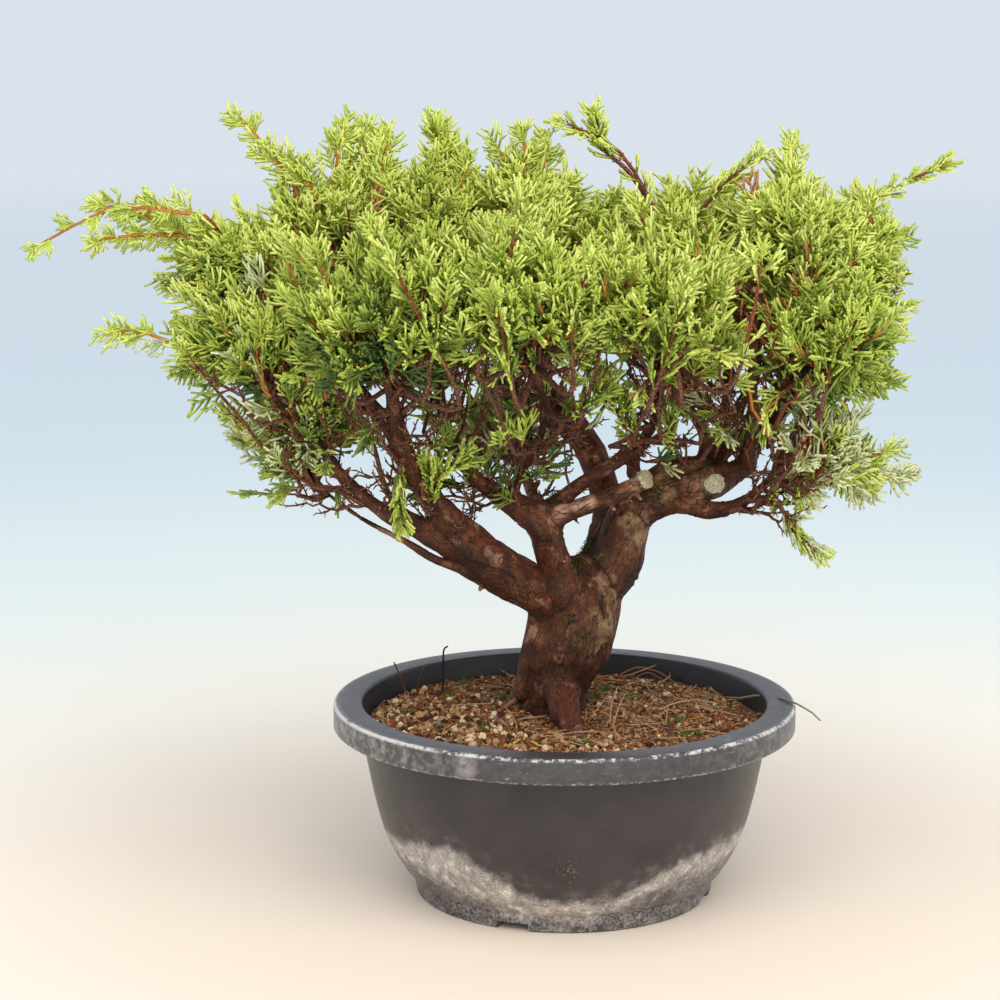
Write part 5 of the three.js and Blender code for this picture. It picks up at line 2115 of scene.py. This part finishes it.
@dataclass
class Pot:
    """The round training pot with its turned-down rim and the drain channels under its foot."""

    sides: int = 160
    rim_radius: float = 115.0
    rim_height: float = 97.0
    rim_top_width: float = 14.0
    lip_depth: float = 12.5
    lip_thickness: float = 3.0
    wall: float = 3.0
    floor: float = 7.0
    foot_radius: float = 74.0
    foot_height: float = 9.5
    foot_ledge: float = 1.3
    outer_wall: tuple[Span, ...] = (
        (76.5, 9.5), (80.5, 14.0), (85.2, 21.6), (88.4, 28.0), (90.8, 34.0), (93.3, 43.0), (95.4, 51.6),
        (98.7, 68.0), (101.0, 84.5))
    drain_turn: float = -110.6
    drain_count: int = 4
    drain_width: float = 16.0
    drain_depth: float = 4.0
    drain_start: float = 32.0
    hole_radius: float = 5.5
    hole_at: float = 42.0

    def inside(self, inward: float, floor: float) -> list[Span]:
        """The inside of the pot from the middle of its floor up its wall."""
        return [(0.0, floor), (self.foot_radius - inward, floor)] + [
            (radius - inward, height) for radius, height in self.outer_wall if height > floor + 3]

    def rim(self) -> list[Span]:
        """The rim from the inside, over its top and round its lip to under it.

        Returns:
            Its radii and heights.
        """
        inner = self.rim_radius - self.rim_top_width
        top, low = self.rim_height, self.rim_height - self.lip_depth
        lip = self.rim_radius - self.lip_thickness
        round_inner = [(inner - 0.4 + 1.6 * (1 - math.cos(a)), top - 1.6 + 1.6 * math.sin(a))
                       for a in np.linspace(0.0, math.pi / 2, 5)]
        round_outer = [(self.rim_radius - 1.8 + 1.8 * math.sin(a), top - 1.8 + 1.8 * math.cos(a))
                       for a in np.linspace(0.0, math.pi / 2, 6)]
        under = [(self.rim_radius, low + 0.7), (self.rim_radius - 0.7, low), (lip + 0.4, low),
                 (lip, low + 0.4), (lip, top - self.lip_thickness),
                 (inner + self.wall, top - self.lip_thickness)]
        return round_inner + round_outer + under

    def profile(self) -> list[Span]:
        """The whole section, from the middle of the floor out over the rim to the underside.

        Returns:
            Its radii and heights.
        """
        foot = [(self.foot_radius + self.foot_ledge, self.foot_height), (self.foot_radius + 0.2, 1.0),
                (self.foot_radius - 0.8, 0.0), (0.0, 0.0)]
        wall = list(reversed(self.outer_wall))
        return self.inside(self.wall, self.floor) + self.rim() + wall + foot

    def cutters(self) -> Piece:
        """The channels and holes that drain the pot, as one mesh of closed bodies.

        Returns:
            The object that is cut away.
        """
        shape = bmesh.new()
        length = self.foot_radius + 6 - self.drain_start
        for number in range(self.drain_count):
            turn = math.radians(self.drain_turn + 360 / self.drain_count * number)
            made = bmesh.ops.create_cube(shape, size=1.0)["verts"]
            bmesh.ops.scale(shape, verts=made, vec=(length, self.drain_width, self.drain_depth * 2))
            bmesh.ops.translate(shape, verts=made, vec=(self.drain_start + length / 2, 0, 0))
            hole = bmesh.ops.create_cone(shape, cap_ends=True, segments=24, radius1=self.hole_radius,
                                         radius2=self.hole_radius, depth=self.floor * 4)["verts"]
            bmesh.ops.translate(shape, verts=hole, vec=(self.hole_at, 0, 0))
            spin = Vector((math.cos(turn), math.sin(turn), 0))
            for vert in made + hole:
                x, y, z = vert.co
                vert.co = (x * spin.x - y * spin.y, x * spin.y + y * spin.x, z)
        bmesh.ops.scale(shape, verts=shape.verts[:], vec=(MM, MM, MM))
        mesh = bpy.data.meshes.new("drain_cutters")
        shape.to_mesh(mesh)
        shape.free()
        return linked("drain_cutters", mesh)

    def build(self) -> Piece:
        """Makes the pot and puts it in place of its node.

        Returns:
            The pot.
        """
        made = turned(list(reversed(self.profile())), self.sides).piece("pot_shell", [])
        cutters = self.cutters()
        cut = made.modifiers.new("drains", "BOOLEAN")
        cut.operation = "DIFFERENCE"
        cut.solver = "EXACT"
        cut.use_self = True
        cut.object = cutters
        made = applied(made)
        bpy.data.objects.remove(cutters)
        made.data.materials.append(PotFinish().material())
        made.data.shade_smooth()
        made.data.set_sharp_from_angle(angle=math.radians(32))
        return settled(made, "pot", "pot")


@dataclass(frozen=True)
class Bit:
    """One stick, root or needle that shows on the soil: its look's number, its radius, and its places by x, y
    and height over the bed."""

    look: int
    radius: float
    route: tuple[Place, ...]


BITS = (
    Bit(4, 0.6, ((-62, 53, 0), (-61.5, 52, 13), (-61, 50, 24), (-59, 49, 26))),
    Bit(2, 0.55, ((-80, 46, 0), (-83, 47, 8), (-87, 48, 17))),
    Bit(2, 0.5, ((-75, 51, 0), (-74, 51, 8), (-71, 50, 15))),
    Bit(5, 0.75, ((-28, -58, 0.6), (-20, -50, 1.2), (-12, -60, 0.8))),
    Bit(0, 0.6, ((-26, 22, 0.5), (-18, 15, 3), (-8, 6, 0.8))),
    Bit(0, 0.55, ((-24, 14, 0.8), (-14, 13, 3), (-2, -4, 0.8))),
    Bit(0, 0.6, ((-38, 6, 0.5), (-30, 2, 1.6), (-22, 2, 0.6))),
    Bit(7, 0.55, ((30, 80, 2), (42, 82, 7), (52, 80, 5), (60, 72, 1))),
    Bit(7, 0.45, ((36, 76, 0), (46, 74, 5), (55, 78, 1))),
    Bit(6, 0.6, ((84, 38, 1), (100, 14, 8.5), (108, -2, 11), (116, -20, 12), (123, -40, 10))),
    Bit(1, 0.45, ((22, -19, 0), (23, -16, 9), (26, -10, 17))),
    Bit(1, 0.45, ((24, -19, 0), (27, -16, 9), (30, -14, 15))),
    Bit(1, 0.6, ((48, 8, 1), (62, 20, 3), (80, 26, 1))),
)

# Where dead feathery sprigs lie on the soil, by x and y
SPRIGS = ((71, 31), (85, 21), (92, 4), (83, 46), (60, 40), (76, 12))


@dataclass
class Soil:
    """The soil: a bed that fills the pot, granules on it, and the needles, threads and moss that lie
    there."""

    pot: Pot
    height: float = 88.0
    edge_drop: float = 1.5
    gap: float = 0.4
    rings: int = 60
    spokes: int = 220
    granules: int = 4800
    needles: int = 130
    threads: int = 110
    moss: int = 420
    moss_homes: int = 14
    trunk_at: Span = (-4.0, 12.0)
    trunk_radius: float = 15.0
    seed: int = 73

    @cached_property
    def chance(self) -> Chance:
        """Its noise."""
        return Chance(self.seed)

    @property
    def radius(self) -> float:
        """How far out the bed reaches, at its top."""
        return self.pot.outer_wall[-1][0] - self.pot.wall - self.gap

    def top(self, flat: Array) -> Array:
        """The height of the bed at places given by x and y.

        Args:
            flat: The places.

        Returns:
            The height at each.
        """
        distance = np.linalg.norm(flat, axis=-1)
        at = np.concatenate([flat, np.zeros((*flat.shape[:-1], 1))], -1)
        bumps = 1.1 * self.chance.soft(at / 11) + 0.5 * self.chance.soft(at / 3.5) - 0.3
        return self.height - self.edge_drop * smoothstep(60.0, self.radius, distance) + bumps

    def bed(self) -> Piece:
        """The bed, closed down to the pot's floor.

        Returns:
            The bed.
        """
        reaches = np.linspace(0.012, 1, self.rings) ** 0.8 * self.radius
        top = np.array([level_ring(reach, 0.0, self.spokes) for reach in reaches])
        top[..., 2] = self.top(top[..., :2])
        below = self.pot.inside(self.pot.wall + self.gap, self.pot.floor + self.gap)[1:]
        sides = [level_ring(radius, height, self.spokes)
                 for radius, height in reversed(below) if height < self.height - 4]
        body = ringed(np.concatenate([top, np.array(sides)]))
        return settled(body.piece("soil_bed", [EarthFinish().material()]), "soil", "soil")

    def scattered(self, count: int, rng: Rng, inset: float = 2.0) -> Array:
        """Seeded places on the bed, clear of the trunk.

        Args:
            count: How many, at most.
            rng: The source of chance.
            inset: How far they stay from the bed's edge.

        Returns:
            The places, by x, y and z.
        """
        reach = (self.radius - inset) * np.sqrt(rng.random(count * 2))
        turn = rng.uniform(0, 2 * np.pi, count * 2)
        flat = np.stack([reach * np.cos(turn), reach * np.sin(turn)], 1)
        flat = flat[distances(flat, self.trunk_at) > self.trunk_radius][:count]
        return np.concatenate([flat, self.top(flat)[:, None]], 1)

    def grains(self) -> Piece:
        """Angular granules of several colours.

        Returns:
            The granules.
        """
        rng = np.random.default_rng(self.seed + 1)
        seed_shape = bmesh.new()
        bmesh.ops.create_icosphere(seed_shape, subdivisions=1, radius=1.0)
        base = np.array([vert.co[:] for vert in seed_shape.verts])
        faces = np.array([[vert.index for vert in face.verts] for face in seed_shape.faces])
        seed_shape.free()
        at = self.scattered(self.granules, rng)
        count = len(at)
        front_left = smoothstep(-10, 50, -at[:, 0] * 0.6 - at[:, 1] * 0.5)
        size = (0.62 + 1.25 * rng.random(count) ** 3) * (0.8 + 0.45 * front_left)
        stretch = rng.uniform(0.7, 1.25, (count, 1, 3))
        rough = rng.uniform(0.82, 1.15, (count, len(base), 1))
        turn = np.linalg.qr(rng.normal(size=(count, 3, 3)))[0]
        points = np.einsum("nij,nkj->nki", turn, base[None] * stretch * rough) * size[:, None, None]
        points = points + at[:, None] + UP * (size * 0.35)[:, None, None]
        colours = [("crumb_tan", 0xB08A63), ("crumb_cream", 0xDCC39C), ("crumb_brown", 0x775036),
                   ("crumb_dark", 0x452A1B), ("crumb_red", 0x864A2C), ("crumb_grey", 0x82868C)]
        odds = np.array([0.24, 0.08, 0.34, 0.2, 0.12, 0.02])
        look = rng.choice(len(colours), count, p=odds)
        pale = rng.random(count) < front_left * 0.3
        look = np.where(pale, rng.integers(0, 2, count), look)
        parts = MeshParts()
        shifted = faces[None] + (np.arange(count) * len(base))[:, None, None]
        parts.add(points, shifted.reshape(-1, 3), np.repeat(look, len(faces)))
        finishes = [CrumbFinish(name, tone(code)).material() for name, code in colours]
        return settled(parts.piece("soil_granules", finishes, smooth=False), "soil")

    def litter(self) -> Piece:
        """Fallen needles, bark threads and bits of moss.

        Returns:
            The litter.
        """
        rng = np.random.default_rng(self.seed + 2)
        parts = MeshParts()
        kinds = [(self.needles, (4, 11), 0.42, 0, 0.25), (self.threads, (8, 24), 0.4, 1, 0.35),
                 (self.needles // 2, (5, 15), 0.5, 2, 0.3), (self.moss, (1.2, 2.6), 0.35, 3, 1.6)]
        for count, lengths, radius, finish, rise in kinds:
            at = self.scattered(count, rng, 6.0)
            if finish == 3:
                home = self.scattered(self.moss_homes, rng, 8.0)
                home = home[rng.integers(self.moss_homes, size=len(at))]
                at = home + rng.normal(0, 2.2, (len(at), 3)) * [1, 1, 0]
                at[:, 2] = self.top(at[:, :2])
            parts.add_strands(self.lying(at, lengths, radius, rise, rng), 4, finish)
        for bit in BITS:
            line = curve(bit.route, 11)
            line[:, 2] += self.top(line[:, :2])
            radii = bit.radius * np.linspace(1, 0.7, 11)
            parts.add_strands(Strands(line[None], radii[None], np.array([[0.3, 0.9, 0.2]])), 5, bit.look)
        at = np.array(SPRIGS, float)
        sprigs = self.lying(np.concatenate([at, self.top(at)[:, None]], 1), (14, 20), 0.45, 0.3, rng)
        parts.add_strands(sprigs, 4, 1)
        parts.add_strands(Growth(9, 0.1, 0.95, 8, 0.6, 0.3, 0.4, 0.25, 3, 0.4).grow(sprigs, rng), 3, 1)
        looks = [("needle_orange", 0xC0743C), ("thread_pale", 0xAE8C6C), ("needle_brown", 0x6A3A26),
                 ("moss", 0x59702A), ("stick_dark", 0x2E2620), ("needle_yellow", 0xC9A850),
                 ("twig_green", 0x8A8A5C), ("root_red", 0x8E5842)]
        finishes = [CrumbFinish(name, tone(code), 0.1).material() for name, code in looks]
        return settled(parts.piece("soil_litter", finishes), "soil")

    def lying(self, at: Array, lengths: Span, radius: float, rise: float,
              rng: Rng) -> Strands:
        """Curved bits that lie on the bed.

        Args:
            at: Where each starts.
            lengths: The shortest and longest.
            radius: Their radius.
            rise: How steeply they may stand, as a share of their length.
            rng: The source of chance.

        Returns:
            The bits.
        """
        count = len(at)
        turn = rng.uniform(0, 2 * np.pi, count)
        way = np.stack([np.cos(turn), np.sin(turn), rng.uniform(0, rise, count)], 1)
        curl = np.stack([-np.sin(turn), np.cos(turn), rng.uniform(-0.3, 0.3, count)], 1)
        length = rng.uniform(*lengths, count)[:, None, None]
        run = np.linspace(0, 1, 5)[None, :, None]
        bend = rng.uniform(-0.6, 0.6, count)[:, None, None]
        points = at[:, None] + length * (way[:, None] * run + curl[:, None] * bend * run * run)
        flat = points[..., :2]
        reach = np.linalg.norm(flat, axis=-1, keepdims=True)
        points[..., :2] = flat * np.minimum(1, (self.radius - 1.5) / np.maximum(reach, 1e-6))
        floor = self.top(points[..., :2]) + radius * 0.8
        points[..., 2] = np.maximum(points[..., 2], floor)
        radii = np.tile(radius * np.array([0.7, 1, 1, 0.9, 0.6]), (count, 1))
        return Strands(points, radii, np.tile(UP, (count, 1)))

    def build(self) -> None:
        """Makes the bed, the granules and the litter."""
        self.bed()
        self.grains()
        self.litter()


# The studio


@dataclass
class Studio:
    """The floor, the light and the camera."""

    floor_radius: float = 70000.0
    floor_sides: int = 96
    camera_at: Place = (-32.0, -1215.0, 403.0)
    camera_down: float = 9.61
    lens: float = 90.0
    sensor: float = 36.0

    def floor(self) -> None:
        """A wide round floor under the pot."""
        parts = MeshParts()
        parts.add(level_ring(self.floor_radius, 0.0, self.floor_sides), np.arange(self.floor_sides)[None])
        parts.piece("floor", [FloorFinish().material()])

    def light(self, name: str, at: Place, aim: Place, size: float, power: float, colour: int) -> None:
        """Adds one soft square light.

        Args:
            name: Its name.
            at: Its place, in millimetres.
            aim: Where it points.
            size: The length of its side, in millimetres.
            power: Its power, in watts.
            colour: Its colour, as 0xRRGGBB.
        """
        data = bpy.data.lights.new(name, "AREA")
        data.shape = "SQUARE"
        data.size = size * MM
        data.energy = power
        data.color = tone(colour)[:3]
        lamp = linked(name, data)
        lamp.location = Vector(at) * MM
        lamp.rotation_euler = (Vector(aim) - Vector(at)).to_track_quat("-Z", "Y").to_euler()

    def sky(self) -> None:
        """Even pale light from all round."""
        world = bpy.data.worlds.new("studio")
        bpy.context.scene.world = world
        world.use_nodes = True
        shade = world.node_tree.nodes["Background"]
        shade.inputs["Color"].default_value = tone(0xDAE2EC)
        shade.inputs["Strength"].default_value = 1.0

    def camera(self) -> None:
        """The camera at the height and tilt that the pot's rim shows."""
        data = bpy.data.cameras.new("camera")
        data.lens = self.lens
        data.sensor_width = self.sensor
        data.clip_start = 0.05
        data.clip_end = 200
        lens = linked("camera", data)
        lens.location = Vector(self.camera_at) * MM
        lens.rotation_euler = (math.radians(90 - self.camera_down), 0, 0)
        bpy.context.scene.camera = lens

    def build(self) -> None:
        """Sets the stage."""
        self.floor()
        self.sky()
        self.light("key", (-150, -1300, 2150), (0, 0, 220), 2300, 36, 0xFFF6E8)
        self.light("fill", (1100, -1300, 1300), (0, 0, 220), 2000, 15, 0xFFF8EC)
        self.light("front", (-200, -2000, 500), (0, 0, 230), 1600, 9, 0xFFF8EC)
        self.camera()
        bpy.context.scene.view_settings.view_transform = "Standard"


def main() -> None:
    """Builds the bonsai from the ground up."""
    logging.basicConfig(level=logging.INFO, format="%(name)s: %(message)s")
    Studio().build()
    pot = Pot()
    pot.build()
    Soil(pot).build()
    Wood().build()
    for face in CUT_FACES:
        face.build()
    Crown().build()


if __name__ == "__main__":
    main()
